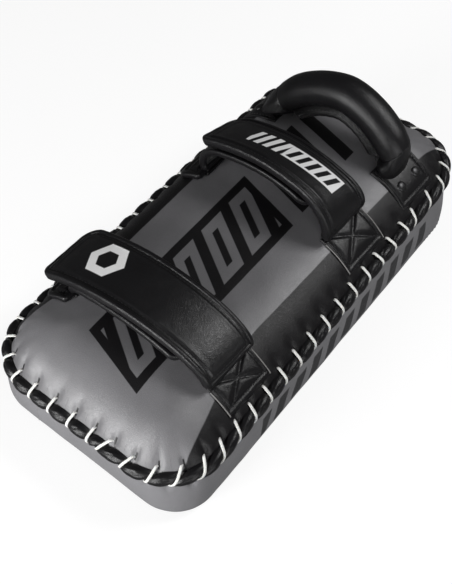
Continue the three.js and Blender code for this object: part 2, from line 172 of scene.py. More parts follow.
# ---------- shape of the body ----------
def narrowing(y):
    return 1 - TAPER * y / HALF_LENGTH


def rim_height(y):
    return RIM_HEIGHT + RIM_RISE * y / HALF_LENGTH


def outline(turn, inset, corner=RIM_CORNER, shrink=1.0):
    """Plan points a distance in from the rim outline, and their outward directions.
    turn runs 0 to 1, anticlockwise from the middle of the right side."""
    turn, inset, corner, shrink = np.broadcast_arrays(turn, inset, corner, shrink)
    wrapped = turn % 1.0
    half = np.minimum(wrapped, 1 - wrapped)
    y_sign = np.where(wrapped < 0.5, 1.0, -1.0)
    x_sign = np.where(half < 0.25, 1.0, -1.0)
    along = np.minimum(half, 0.5 - half) * PERIMETER
    side = np.minimum(along / (SIDE_RUN / 2), 1)
    angle = np.clip((along - SIDE_RUN / 2) / RIM_CORNER, 0, math.pi / 2)
    end = np.maximum((along - SIDE_RUN / 2 - CORNER_RUN) / (END_RUN / 2), 0)
    out = np.stack([x_sign * np.cos(angle), y_sign * np.sin(angle)], -1)
    base_x = x_sign * (HALF_WIDTH - corner) * (1 - end)
    base_y = y_sign * (HALF_LENGTH - corner) * side
    flat = (np.stack([base_x, base_y], -1) + out * (corner - inset)[..., None]) * shrink[..., None]
    flat[..., 0] *= narrowing(flat[..., 1])
    return flat, out


def inboard(x, y):
    """How far a plan point lies inside the rim outline."""
    qx = np.abs(x) / narrowing(y) - (HALF_WIDTH - RIM_CORNER)
    qy = np.abs(y) - (HALF_LENGTH - RIM_CORNER)
    return RIM_CORNER - np.hypot(np.maximum(qx, 0), np.maximum(qy, 0)) - np.minimum(np.maximum(qx, qy), 0)


def back_height(x, y):
    """Height of the padded back; its left shoulder, behind the forearm cushion, is a little fuller."""
    deep = inboard(x, y)
    share = np.clip((deep - WELT_INSET) / (HALF_WIDTH - WELT_INSET), 0, 1)
    shoulder = smooth(deep, 6, 12) * (1 - smooth(deep, 15, 46)) * smooth(-x, 20, 75)
    return rim_height(y) + DOME_RISE * (1 - (1 - share) ** DOME_POWER) + SHOULDER_RISE * shoulder


def wall_inset(z):
    drop = np.maximum(EDGE_ROUND - z, 0)
    return WALL_INSET + EDGE_ROUND - np.sqrt(EDGE_ROUND ** 2 - drop ** 2)


def corner_at(z):
    return lerp(FACE_CORNER, RIM_CORNER, np.minimum(z / RIM_HEIGHT, 1))


def seam_height(y):
    return SEAM_LOW + SEAM_RISE * smooth(y, HALF_LENGTH / 2, HALF_LENGTH)


def lace_table():
    """For every stitch, its place round the rim and half its lean, both in pitches."""
    ends, halves = zip(*LACE_LEANS)
    lean = np.repeat(halves, np.diff((0,) + ends))
    place = np.arange(LACES) + LACE_PHASE
    place[list(LACE_SHIFTS)] += list(LACE_SHIFTS.values())
    return place, lean


LACE_PLACE, LACE_LEAN = lace_table()


def lace_offset(turn, lean):
    """Distance along the rim, in millimetres, from the nearest lace stitch, where lean runs -1 at its wall
    hole to 1 at its cover hole; and that stitch's number."""
    turn, lean = (side[..., None] for side in np.broadcast_arrays(turn, lean))
    number = (np.floor(turn * LACES).astype(int) + np.arange(-1, 3)) % LACES
    hole = LACE_PLACE[number] + LACE_LEAN[number] * lean
    away = (turn * LACES - hole + LACES / 2) % LACES - LACES / 2
    nearest = np.abs(away).argmin(-1, keepdims=True)
    away, number = (np.take_along_axis(choices, nearest, -1)[..., 0] for choices in (away, number))
    return away * LACE_PITCH, number


def between_laces(away):
    """0 at a lace stitch and 1 halfway to the next."""
    return 0.5 - 0.5 * np.cos(2 * math.pi * away / LACE_PITCH)


LACE_STRENGTH = RANDOM.uniform(0.6, 1.4, LACES)
LACE_SKEW = RANDOM.uniform(-0.35, 0.35, LACES)


# ---------- meshes ----------
def skin(rings, looped=False, capped=True):
    """Quads that join closed rings of points, given as an array of rings."""
    rows, count, _ = rings.shape
    points = rings.reshape(-1, 3)
    row = np.arange(rows if looped else rows - 1)[:, None]
    column = np.arange(count)[None, :]
    after = (row + 1) % rows
    beside = (column + 1) % count
    corners = [row * count + column, row * count + beside, after * count + beside, after * count + column]
    faces = np.stack(np.broadcast_arrays(*corners), -1).reshape(-1, 4).tolist()
    if not looped and capped:
        hubs = [rings[0].mean(0), rings[-1].mean(0)]
        for hub, start in ((len(points), 0), (len(points) + 1, (rows - 1) * count)):
            ring = np.arange(count)
            fan = np.stack([np.full(count, hub), start + ring, start + (ring + 1) % count], -1)
            faces += fan.tolist()
        points = np.vstack([points, hubs])
    return points, faces


def slab(top, bottom):
    """A closed sheet between two grids of points."""
    rows, columns, _ = top.shape
    points = np.concatenate([top.reshape(-1, 3), bottom.reshape(-1, 3)])
    index = np.arange(rows * columns).reshape(rows, columns)
    quads = np.stack([index[:-1, :-1], index[1:, :-1], index[1:, 1:], index[:-1, 1:]], -1).reshape(-1, 4)
    border = np.concatenate([index[0, :], index[1:, -1], index[-1, -2::-1], index[-2:0:-1, 0]])
    after = np.roll(border, -1)
    under = rows * columns
    sides = np.stack([border, after, after + under, border + under], -1)
    return points, np.concatenate([quads, quads[:, ::-1] + under, sides]).tolist()


def sweep(path, side, up, section, looped=False):
    """Rings of a section, given as (side, up) pairs, carried along a path."""
    section = np.asarray(section, float)
    if section.ndim == 2:
        section = np.broadcast_to(section, (len(path),) + section.shape)
    rings = path[:, None] + section[..., :1] * side[:, None] + section[..., 1:] * up[:, None]
    return skin(rings, looped)


def round_section(width, height, count=12, power=1.0):
    flat = power_keeping_sign(np.cos(circle(count)), power) * width / 2
    tall = power_keeping_sign(np.sin(circle(count)), power) * height / 2
    return np.stack([flat, tall], -1)


def join(parts):
    """One list of points and faces from several."""
    points = np.vstack([part_points for part_points, _ in parts])
    faces = []
    base = 0
    for part_points, part_faces in parts:
        faces += [[base + i for i in face] for face in part_faces]
        base += len(part_points)
    return points, faces


def add_object(name, data):
    made = bpy.data.objects.new(name, data)
    bpy.context.scene.collection.objects.link(made)
    return made


def mesh_piece(name, shape, material, body="pad_body", replaced=(), place=None):
    """A finished piece from (points, faces); place holds each point's flat coordinates for its material."""
    points, faces = shape
    mesh = bpy.data.meshes.new(name)
    mesh.from_pydata((np.asarray(points) * MM).tolist(), [], faces)
    mesh.validate()
    mesh.update()
    if place is not None:
        layer = mesh.attributes.new("place", "FLOAT_VECTOR", "POINT")
        flat = np.zeros((len(mesh.vertices), 3), np.float32)
        flat[:len(place)] = place
        layer.data.foreach_set("vector", flat.ravel())
    turn_outward(mesh)
    mesh.shade_smooth()
    mesh.materials.append(material)
    piece = add_object(name, mesh)
    if body:
        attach(piece, body)
    if replaced:
        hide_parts(*replaced)
    return piece


def turn_outward(mesh):
    """Turns every face of a closed mesh to face out."""
    work = bmesh.new()
    work.from_mesh(mesh)
    bmesh.ops.recalc_face_normals(work, faces=work.faces)
    work.to_mesh(mesh)
    work.free()


def stitches(path, normal, pitch=3.4, length=2.5, radius=0.42):
    """A row of sewn stitches on a path: small rounded threads that dip at both ends."""
    arc = lengths_along(path)
    count = max(int(arc[-1] / pitch), 1)
    places = (np.arange(count) + 0.5) * arc[-1] / count
    centre = read_off(places, arc, path)
    direction = unit(read_off(places, arc, np.gradient(path, axis=0)))
    up = unit(read_off(places, arc, normal))
    side = np.cross(direction, up)
    shares = np.array([-1.0, -0.7, 0.0, 0.7, 1.0])
    swell = np.array([0.35, 0.85, 1.0, 0.85, 0.35])
    drop = np.array([-0.75, -0.2, 0.1, -0.2, -0.75])
    angle = circle(6)
    parts = []
    for c, d, u, s in zip(centre, direction, up, side):
        middle = c + np.outer(shares * length / 2, d) + np.outer(drop * radius, u)
        ring = np.cos(angle)[:, None] * s + np.sin(angle)[:, None] * u
        rings = middle[:, None] + swell[:, None, None] * radius * ring[None]
        parts.append(skin(rings))
    return join(parts)


# ---------- materials ----------
class Shader:
    """A small wrapper that builds one material's nodes."""

    def __init__(self, name):
        self.material = bpy.data.materials.new(name)
        self.material.use_nodes = True
        self.tree = self.material.node_tree
        self.surface = self.tree.nodes["Principled BSDF"]

    def node(self, kind, inputs=(), **settings):
        made = self.tree.nodes.new(kind)
        for key, value in settings.items():
            setattr(made, key, value)
        for key, value in dict(inputs).items():
            self.feed(made.inputs[key], value)
        return made

    def feed(self, socket, value):
        if isinstance(value, bpy.types.NodeSocket):
            self.tree.links.new(value, socket)
        else:
            socket.default_value = value

    def maths(self, operation, *values):
        return self.node("ShaderNodeMath", dict(enumerate(values)), operation=operation).outputs[0]

    def within(self, value, centre, half, blur=0.00025):
        """1 where value lies within half of centre, fading over blur."""
        away = self.maths("ABSOLUTE", self.maths("SUBTRACT", value, centre))
        return self.step(self.maths("SUBTRACT", half, away), blur)

    def ramp(self, value, low, high, to_low=0.0, to_high=1.0, **settings):
        inputs = {"Value": value, "From Min": low, "From Max": high, "To Min": to_low, "To Max": to_high}
        return self.node("ShaderNodeMapRange", inputs, **settings).outputs[0]

    def step(self, value, blur=0.00025):
        return self.ramp(value, -blur, blur)

    def spread(self, value, low, high):
        return self.ramp(value, 0.0, 1.0, low, high)

    def chain(self, operation, masks):
        result = masks[0]
        for mask in masks[1:]:
            result = self.maths(operation, result, mask)
        return result

    def both(self, *masks):
        return self.chain("MULTIPLY", masks)

    def either(self, *masks):
        return self.chain("MAXIMUM", masks)

    def without(self, mask, hole):
        return self.maths("MULTIPLY", mask, self.maths("SUBTRACT", 1.0, hole))

    def noise(self, scale, detail=3.0):
        inputs = {"Vector": self.coordinates(), "Scale": scale, "Detail": detail, "Roughness": 0.55}
        return self.node("ShaderNodeTexNoise", inputs).outputs["Fac"]

    def coordinates(self):
        return self.node("ShaderNodeTexCoord").outputs["Object"]

    def axes(self, vector):
        return self.node("ShaderNodeSeparateXYZ", {"Vector": vector}).outputs

    def place(self):
        """The piece's own flat coordinates: along, across, height."""
        return self.axes(self.node("ShaderNodeAttribute", attribute_name="place").outputs["Vector"])

    def mix_values(self, share, first, second):
        return self.node("ShaderNodeMix", {"Factor": share, "A": first, "B": second}).outputs[0]

    def mix(self, share, first, second):
        """A colour between two others."""
        made = self.node("ShaderNodeMix", data_type="RGBA")
        self.feed(made.inputs[0], share)
        for socket, colour in ((made.inputs[6], first), (made.inputs[7], second)):
            self.feed(socket, colour if isinstance(colour, bpy.types.NodeSocket) else (*colour, 1))
        return made.outputs[2]

    def relief(self, height, distance, strength=1.0, under=None):
        inputs = {"Height": height, "Distance": distance, "Strength": strength}
        if under is not None:
            inputs["Normal"] = under
        return self.node("ShaderNodeBump", inputs).outputs[0]

    def set(self, **inputs):
        for key, value in inputs.items():
            self.feed(self.surface.inputs[key.replace("_", " ")], value)


def shade(colour, share, lift=0.0):
    return tuple(value * share + lift for value in colour)


# painted shade: the back cover's grey is darker than the wall's grey, though both are the same grey leather
COVER_GREY_WITH_PAINTED_SHADE = (0.156, 0.154, 0.161)
WALL_GREY = (0.2, 0.198, 0.207)
BLACK = (0.0055, 0.0052, 0.006)
PRINT_WHITE = (0.80, 0.80, 0.80)
PRINT_AND_HOLE_SHADE_BLACK = (0.0065, 0.006, 0.0068)
PRINT_DARK_GREY = (0.035, 0.035, 0.037)
PRINT_ROUGHNESS = 0.42
PRINT_SHINE = 0.3
GRAIN_SIZE = 0.0011
GRAIN_DEPTH = 0.0001


def grain(shader):
    """Fine leather grain: irregular cells with creases between them, over soft unevenness."""
    coordinates = shader.coordinates()
    warp = shader.node("ShaderNodeTexNoise", {"Vector": coordinates, "Scale": 260.0, "Detail": 2.0})
    bent = shader.node("ShaderNodeMix", {"Factor": 0.0012}, data_type="VECTOR")
    shader.feed(bent.inputs[4], coordinates)
    shader.feed(bent.inputs[5], warp.outputs["Color"])
    cell_inputs = {"Vector": bent.outputs[1], "Scale": 1 / GRAIN_SIZE}
    cells = shader.node("ShaderNodeTexVoronoi", cell_inputs, feature="DISTANCE_TO_EDGE")
    crease = shader.ramp(cells.outputs["Distance"], 0.0, 0.22)
    soft = shader.relief(shader.noise(95.0), 0.00045, 0.25)
    return shader.relief(crease, GRAIN_DEPTH, 0.55, soft), crease


def leather(name, colour, roughness=0.4, shine=0.34, print_and_shade_mask=None, print_and_shade_colour=PRINT_WHITE):
    """Satin leather with grain, uneven dye, painted shade in the grain creases, wear on raised edges, and an
    optional printed pattern, which on the back cover also holds painted shade in the lace holes.
    """
    shader = Shader(name)
    normal, crease = grain(shader)
    uneven = shader.spread(shader.noise(22.0, 4.0), -0.3, 1.3)
    dye_wear_and_crease_shade = shader.mix(uneven, shade(colour, 0.86), shade(colour, 1.16, 0.0012))
    # painted shade: the colour darkens in the grain creases
    dye_wear_and_crease_shade = shader.mix(shader.spread(crease, 0.22, 0.0), dye_wear_and_crease_shade, shade(colour, 0.55))
    pointed = shader.node("ShaderNodeNewGeometry").outputs["Pointiness"]
    scuffed = shader.both(shader.ramp(pointed, 0.53, 0.62, 0.0, 0.35), shader.noise(140.0, 4.0))
    dye_wear_and_crease_shade = shader.mix(scuffed, dye_wear_and_crease_shade, shade(colour, 1.9, 0.012))
    rough = shader.spread(shader.noise(60.0, 4.0), roughness - 0.09, roughness + 0.1)
    if print_and_shade_mask:
        mask = print_and_shade_mask(shader)
        dye_wear_and_crease_shade = shader.mix(mask, dye_wear_and_crease_shade, print_and_shade_colour)
        rough = shader.mix_values(mask, rough, PRINT_ROUGHNESS)
        shine = shader.mix_values(mask, shine, PRINT_SHINE)
    shader.set(Base_Color=dye_wear_and_crease_shade, Roughness=rough, Normal=normal, Specular_IOR_Level=shine)
    return shader.material


def slanted_bars(shader, along, across, start, pitch, duty, lean):
    """Plain slanted bars that repeat along one direction."""
    shifted = shader.maths("SUBTRACT", along, start)
    leaned = shader.maths("ADD", shifted, shader.maths("MULTIPLY", across, lean))
    phase = shader.maths("FRACT", shader.maths("DIVIDE", leaned, pitch))
    return shader.within(phase, 0.5, duty / 2, 0.012)


FRAME_MIDDLE = -0.057
BLOCK_START = -0.1415
BLOCK_PITCH = 0.0338
FAR_BARS = (  # (middle and half length across the pad, middle and half width along it)
    (-0.004, 0.029, 0.1165, 0.0058), (-0.012, 0.022, 0.0965, 0.0042),
    (0.0, 0.029, 0.057, 0.0085), (0.0, 0.029, 0.145, 0.0075),
)


def box(shader, first, first_middle, first_half, second, second_middle, second_half):
    """A rectangle in two coordinates."""
    return shader.both(shader.within(first, first_middle, first_half),
                       shader.within(second, second_middle, second_half))


def back_print_and_hole_shade(shader):
    """Black bands down both long sides, a slanted frame with blocks in it, bars beside the handle, and
    painted shade: a short black slit at each lace hole in the cover.
    """
    x, y, _ = shader.axes(shader.coordinates())
    flare = shader.ramp(y, -0.06, -0.19, 0.0, 0.024, interpolation_type="SMOOTHSTEP")
    edge = shader.maths("ADD", flare, shader.maths("MULTIPLY_ADD", y, 0.015, 0.0655))
    bands = shader.step(shader.maths("SUBTRACT", shader.maths("ABSOLUTE", x), edge), 0.0004)
    along = shader.maths("MULTIPLY_ADD", x, 0.27, y)
    outer = box(shader, x, 0.0, 0.031, along, FRAME_MIDDLE, 0.0915)
    inner = box(shader, x, 0.0, 0.0235, along, FRAME_MIDDLE, 0.0845)
    bars, slots = (slanted_bars(shader, along, x, BLOCK_START, BLOCK_PITCH, duty, 0.35)
                   for duty in (0.7, 0.2))
    slots = shader.both(slots, shader.within(x, 0.0, 0.015))
    framed = shader.without(outer, shader.both(inner, shader.without(bars, slots)))
    far_bars = shader.either(*(box(shader, x, middle, half, along, *run) for middle, half, *run in FAR_BARS))
    away, inset, _ = shader.place()
    # painted shade: each lace hole in the cover is a short black slit in the colour
    beside = shader.within(inset, COVER_HOLE * MM + 0.0004, 0.002)
    painted_hole_shade = shader.both(shader.within(away, 0.0, 0.0008), beside)
    return shader.either(bands, framed, far_bars, painted_hole_shade)


WALL_BAR_PITCH = 0.0215
WALL_BAR_MIDDLE = 0.45


def wall_print(shader):
    """A row of slanted dark bars along the right wall, by the run along the wall and the height share."""
    along, share, _ = shader.place()
    band = shader.within(share, WALL_BAR_MIDDLE, 0.22, 0.01)
    bars = slanted_bars(shader, along, share, 0.0, WALL_BAR_PITCH, 0.56, -0.012)
    slots = slanted_bars(shader, along, share, 0.0, 2 * WALL_BAR_PITCH, 0.09, -0.012)
    hollow = shader.both(slots, shader.within(share, WALL_BAR_MIDDLE, 0.12, 0.01))
    return shader.without(shader.both(band, bars, shader.within(along, 0.018, 0.112)), hollow)


def lower_emblem(shader):
    """A plain hexagonal ring."""
    along, across, _ = shader.place()
    u = shader.maths("SUBTRACT", along, 0.128)
    v = shader.maths("SUBTRACT", across, 0.003)
    spans = []
    for third in range(3):
        angle = math.pi / 6 + third * math.pi / 3
        spin = shader.maths("MULTIPLY", v, math.sin(angle))
        spans.append(shader.maths("ABSOLUTE", shader.maths("MULTIPLY_ADD", u, math.cos(angle), spin)))
    reach = shader.either(*spans)
    return shader.within(reach, 0.0115, 0.0035)


WHITE_BLOCK = 0.0535


def upper_strip(shader):
    """A white block with slanted dark bars, then a run of white slanted bars."""
    along, across, _ = shader.place()
    tilt = shader.maths("MULTIPLY_ADD", along, 0.05, -0.0062)
    height = shader.maths("ADD", across, tilt)
    strip = shader.within(height, 0.0, 0.0088)
    block = shader.both(strip, shader.within(along, WHITE_BLOCK, 0.0235))
    inside = box(shader, height, 0.0, 0.0066, along, WHITE_BLOCK, 0.0212)
    dark = shader.both(inside, slanted_bars(shader, along, height, 0.0323, 0.0085, 0.52, 0.28))
    light = shader.both(strip, slanted_bars(shader, along, height, 0.077, 0.0082, 0.56, 0.28),
                        shader.within(along, 0.0928, 0.0158))
    return shader.either(shader.without(block, dark), light)


def woven(name, colour, pitch=0.0009):
    """Woven cloth: two crossing sets of threads, with painted highlight on the raised threads and painted
    shade where the weave dips.
    """
    shader = Shader(name)
    x, y, z = shader.axes(shader.coordinates())
    first, second = (shader.maths("SINE", shader.maths("MULTIPLY", run, 2 * math.pi / pitch))
                     for run in (x, shader.maths("ADD", y, z)))
    height = shader.maths("MULTIPLY", first, second)
    # painted highlight and shade: lighter where the weave rises, darker where it dips
    tone = shader.mix(shader.spread(height, 0.2, 0.8), shade(colour, 0.7), shade(colour, 1.35))
    tone = shader.mix(shader.spread(shader.noise(35.0), 0.0, 0.35), tone, shade(colour, 0.6))
    shader.set(Base_Color=tone, Roughness=0.85, Normal=shader.relief(height, 0.0002, 0.6))
    shader.set(Sheen_Weight=0.25)
    return shader.material


def pile(name, colour, size, depth):
    """Hook or loop tape: a dense field of tiny tufts, with painted highlight on their tips and painted shade
    between them.
    """
    shader = Shader(name)
    tufts = shader.node("ShaderNodeTexVoronoi", {"Vector": shader.coordinates(), "Scale": 1 / size})
    height = shader.maths("SUBTRACT", 1.0, tufts.outputs["Distance"])
    # painted highlight and shade: each tuft is lighter at its tip and darker towards the gaps
    tone = shader.mix(height, shade(colour, 0.4), shade(colour, 1.8))
    shader.set(Base_Color=tone, Roughness=0.9, Normal=shader.relief(height, depth, 0.9))
    shader.set(Sheen_Weight=0.3)
    return shader.material


def foam(name, colour):
    """Closed-cell foam: small pores and a little mottling."""
    shader = Shader(name)
    pores = shader.node("ShaderNodeTexVoronoi", {"Vector": shader.coordinates(), "Scale": 700.0})
    tone = shader.mix(shader.noise(30.0), shade(colour, 0.8), shade(colour, 1.2))
    dented = shader.relief(pores.outputs["Distance"], 0.0003, 0.6)
    shader.set(Base_Color=tone, Roughness=0.95, Normal=dented)
    return shader.material


def waxed_cord():
    """Flat off-white cord with a fine plait and slightly soiled patches."""
    shader = Shader("waxed_cord")
    along, across, _ = shader.place()
    slanted = shader.maths("MULTIPLY", across, 2600.0)
    plait = shader.maths("SINE", shader.maths("MULTIPLY_ADD", along, 5200.0, slanted))
    soil = shader.spread(shader.noise(90.0, 4.0), -0.25, 0.6)
    tone = shader.mix(soil, (0.88, 0.87, 0.84), (0.62, 0.59, 0.54))
    shader.set(Base_Color=tone, Roughness=0.55, Normal=shader.relief(plait, 0.00012, 0.5))
    shader.set(Subsurface_Weight=0.05, Sheen_Weight=0.1)
    return shader.material


def thread(name, colour):
    """Twisted sewing thread."""
    shader = Shader(name)
    x, y, z = shader.axes(shader.coordinates())
    run = shader.maths("ADD", shader.maths("ADD", x, y), z)
    twist = shader.maths("SINE", shader.maths("MULTIPLY", run, 9000.0))
    tone = shader.mix(shader.noise(400.0), shade(colour, 0.7), shade(colour, 1.5))
    shader.set(Base_Color=tone, Roughness=0.6, Normal=shader.relief(twist, 0.0001, 0.5), Sheen_Weight=0.08)
    return shader.material


def dark_metal():
    """Oxidised snap metal with brushed scuffs."""
    shader = Shader("dark_metal")
    scuff = shader.noise(900.0, 5.0)
    tone = shader.mix(shader.spread(scuff, -0.5, 1.2), (0.02, 0.02, 0.021), (0.09, 0.09, 0.092))
    shader.set(Base_Color=tone, Metallic=0.85, Roughness=shader.spread(scuff, 0.28, 0.5))
    shader.set(Normal=shader.relief(scuff, 0.00005, 0.4))
    return shader.material


BACK = leather("back_leather", COVER_GREY_WITH_PAINTED_SHADE, 0.38, 0.55, back_print_and_hole_shade, PRINT_AND_HOLE_SHADE_BLACK)
WALL = leather("wall_leather", WALL_GREY, 0.44, 0.45, wall_print, PRINT_DARK_GREY)
BLACK_LEATHER = leather("black_leather", BLACK, 0.34)
LOWER_TOP = leather("lower_strap_leather", BLACK, 0.36, 0.42, lower_emblem)
UPPER_TOP = leather("upper_strap_leather", BLACK, 0.36, 0.34, upper_strip)
LINING = woven("strap_lining_cloth", (0.02, 0.02, 0.021))
WEBBING = woven("webbing_weave", (0.03, 0.03, 0.032), 0.0016)
HOOK = pile("hook_tape", (0.02, 0.02, 0.021), 0.0009, 0.0006)
LOOP = pile("loop_tape", (0.017, 0.017, 0.018), 0.0006, 0.0003)
FOAM = foam("closed_cell_foam", (0.05, 0.05, 0.055))
CORD = waxed_cord()
THREAD = thread("sewing_thread", (0.008, 0.008, 0.009))
RAW_EDGE = thread("cut_leather_edge", (0.2, 0.195, 0.19))
METAL = dark_metal()


# ---------- body ----------
RIM_POINTS = LACES * 14
RIM_TURNS = np.arange(RIM_POINTS)[None, :] / RIM_POINTS


def body_rings(turn, inset, height, corner=RIM_CORNER, shrink=1.0):
    """Rings round the body; height is an array or a function of the plan point."""
    flat, _ = outline(turn, inset, corner, shrink)
    return with_height(flat, height(flat[..., 0], flat[..., 1]) if callable(height) else height)


def cover_relief(turn, inset):
    """Rise and fall of the back leather: it dips and puckers at each punched hole and swells between."""
    away, number = lace_offset(turn, 1.0)
    inward = inset - COVER_HOLE
    strength = LACE_STRENGTH[number]
    bent = away - LACE_SKEW[number] * np.maximum(inward, 0)
    dimple = 2.3 * np.exp(-(away ** 2 + 0.5 * inward ** 2) / (2 * 2.2 ** 2))
    fading = np.exp(-np.maximum(inward, 0) / 4.5) * smooth(inward, -4, 1)
    pucker = 0.55 * strength * bump(bent, 1.7) * fading
    swell = between_laces(away) * np.exp(-np.maximum(inward, 0) / 6)
    broad = 0.5 * (strength - 1) * bump(away, 6) * np.exp(-(inward - 9) ** 2 / 90)
    return (swell + broad) * smooth(inset, 4, 9) - dimple - pucker


def back_cover():
    """The padded back: one leather panel, laced down round its edge."""
    turn = RIM_TURNS
    inset = np.concatenate([np.linspace(4.8, 26, 22), np.linspace(27.5, FLAT_INSET, 8)])[:, None]
    shrink = np.linspace(0.96, 0.02, 26)[:, None]
    inset_all = np.vstack([inset, np.full_like(shrink, FLAT_INSET)])
    shrink_all = np.vstack([np.ones_like(inset), shrink])
    rings = body_rings(turn, inset_all, back_height, RIM_CORNER, shrink_all)
    x, y = rings[..., 0], rings[..., 1]
    soft = 0.55 * ripple(x, y, 3, 85) * smooth(inboard(x, y), 10, 30)
    rings[..., 2] += cover_relief(turn, inset_all) * (shrink_all > 0.999) + soft
    under = rings[::-6].copy()
    under[..., 2] -= 2.4
    under[-1, :, 2] = np.minimum(under[-1, :, 2], rings[0, :, 2] - 0.4)
    points, faces = skin(np.concatenate([rings[::-1], under[::-1]]))
    away, _ = lace_offset(turn, 1.0)
    place = np.full(points.shape, 1.0)
    count = rings.shape[0] * RIM_POINTS
    place[:count, 0] = np.broadcast_to(away, rings.shape[:2]).ravel() * MM
    place[:count, 1] = np.broadcast_to(inset_all, rings.shape[:2])[::-1].ravel() * MM
    shape = (points, faces)
    mesh_piece("back_cover_leather", shape, BACK, "pad_body", ["back_cover"], place)


def wall_shape(turn, share, depth=0.0):
    """Points of the wall at a share of the way from the strike face seam to the rim binding."""
    plan, _ = outline(turn, 0.0)
    low = seam_height(plan[..., 1])
    high = rim_height(plan[..., 1]) - 3
    z = lerp(low, high, share)
    flat, out = outline(turn, wall_inset(z), corner_at(z))
    away, number = lace_offset(turn, -1.0)
    below = high + 3 - WALL_HOLE_DROP - z
    dimple = 1.6 * np.exp(-(away ** 2 + below ** 2) / (2 * 2.3 ** 2))
    pull = 0.5 * LACE_STRENGTH[number] * bump(away - LACE_SKEW[number] * below, 2.4)
    pull = pull * np.exp(-np.maximum(below, 0) / 6) * smooth(below, -5, 0)
    belly = 1.1 * np.sin(math.pi * np.clip(share, 0, 1))
    soft = 0.45 * ripple(turn * PERIMETER, z, 11, 70) * smooth(share, 0.0, 0.25)
    move = belly + soft - dimple - pull - depth
    return with_height(flat + out * move[..., None], z)


def side_wall():
    """The grey wall, from the strike face seam up into the rim binding."""
    turn = RIM_TURNS
    share = np.linspace(0, 1, 30)[:, None]
    outside = wall_shape(turn, share)
    inside = wall_shape(turn, np.linspace(1, 0, 6)[:, None], LEATHER)
    points, faces = skin(np.concatenate([outside, inside]), looped=True)
    along = np.where(turn > 0.5, turn - 1, turn) * PERIMETER * MM
    place = np.zeros(points.shape)
    for axis, values in enumerate((along, share)):
        flat = np.broadcast_to(values, outside.shape[:2]).ravel()
        place[:len(flat), axis] = flat
    mesh_piece("side_wall_leather", (points, faces), WALL, "pad_body", ["side_wall"], place)


def strike_face():
    """The strike face leather: a flat sheet with a rounded, turned-up edge."""
    turn = np.arange(RIM_POINTS // 2)[None, :] / (RIM_POINTS // 2)
    plan, _ = outline(turn, 0.0)
    share = np.sin(np.linspace(0, 1, 9)[:, None] * math.pi / 2)
    z = 0.15 + (seam_height(plan[..., 1]) - 0.3) * share ** 2
    edge = body_rings(turn, wall_inset(z), z, corner_at(z))
    shrink = np.array([0.985, 0.95, 0.85, 0.7, 0.5, 0.3, 0.1])[:, None]
    floor_height = 0.05 + 0.5 * (1 - shrink)
    flat = body_rings(turn, wall_inset(0.0), floor_height, FACE_CORNER, shrink)
    under = np.concatenate([flat[::-1], edge])
    above = under[::-1].copy()
    flat_out = unit(with_height(above[..., :2]))
    above[:9] -= flat_out[:9] * 1.8
    above[9:, :, 2] += 1.8
    mesh_piece("strike_face_leather", skin(np.concatenate([under, above])), BLACK_LEATHER, "pad_body",
               ["strike_face_cover"])


def rim_path(turn, inset, rise):
    flat, out = outline(turn, inset)
    return with_height(flat, rim_height(flat[..., 1]) + rise), out


def rim_binding():
    """The puffed strip over the seam: pinched under every lace stitch and creased between stitches."""
    turn = RIM_TURNS.T
    angle = circle(44)[None, :]
    signed = (angle + math.pi) % (2 * math.pi) - math.pi
    lean = np.clip((np.degrees(signed) + 60) / 95 - 1, -1.1, 1.1)
    away, number = lace_offset(turn, lean)
    pinch = bump(away, 2.3)
    between = between_laces(away)
    run = turn * PERIMETER
    slope = 0.05 * away * (0.7 + 0.5 * LACE_STRENGTH[number])
    crease = 0
    for depth, middle, width in ((0.75, 0.35, 0.10), (0.65, 1.15, 0.11), (0.6, -0.4, 0.1)):
        crease = crease + depth * bump(signed - middle - slope, width)
    radius = WELT_RADIUS * (0.92 + 0.15 * between - 0.29 * pinch) - crease * (0.35 + 0.65 * between)
    radius = radius + 0.12 * ripple(run, signed * 8, 5, 14)
    centre, out = rim_path(turn[:, 0], WELT_INSET, -WELT_DROP)
    ring = centre[:, None] + (radius * np.cos(angle))[..., None] * with_height(out)[:, None]
    ring[..., 2] += radius * np.sin(angle)
    mesh_piece("rim_binding_leather", skin(ring, looped=True), BLACK_LEATHER, "pad_body",
               ["rim_binding", "rim_filler_cord"])


LACE_OUTSIDE = [  # (inset, rise) from a wall hole, over the binding, to a cover hole
    (5.8, -9.2), (2.2, -7.8), (0.8, -6.3), (-0.6, -3.9), (-1.2, -0.8), (-0.3, 2.2),
    (1.9, 4.1), (4.5, 5.2), (7.0, 6.3), (8.9, 5.5), (9.4, 1.5),
]


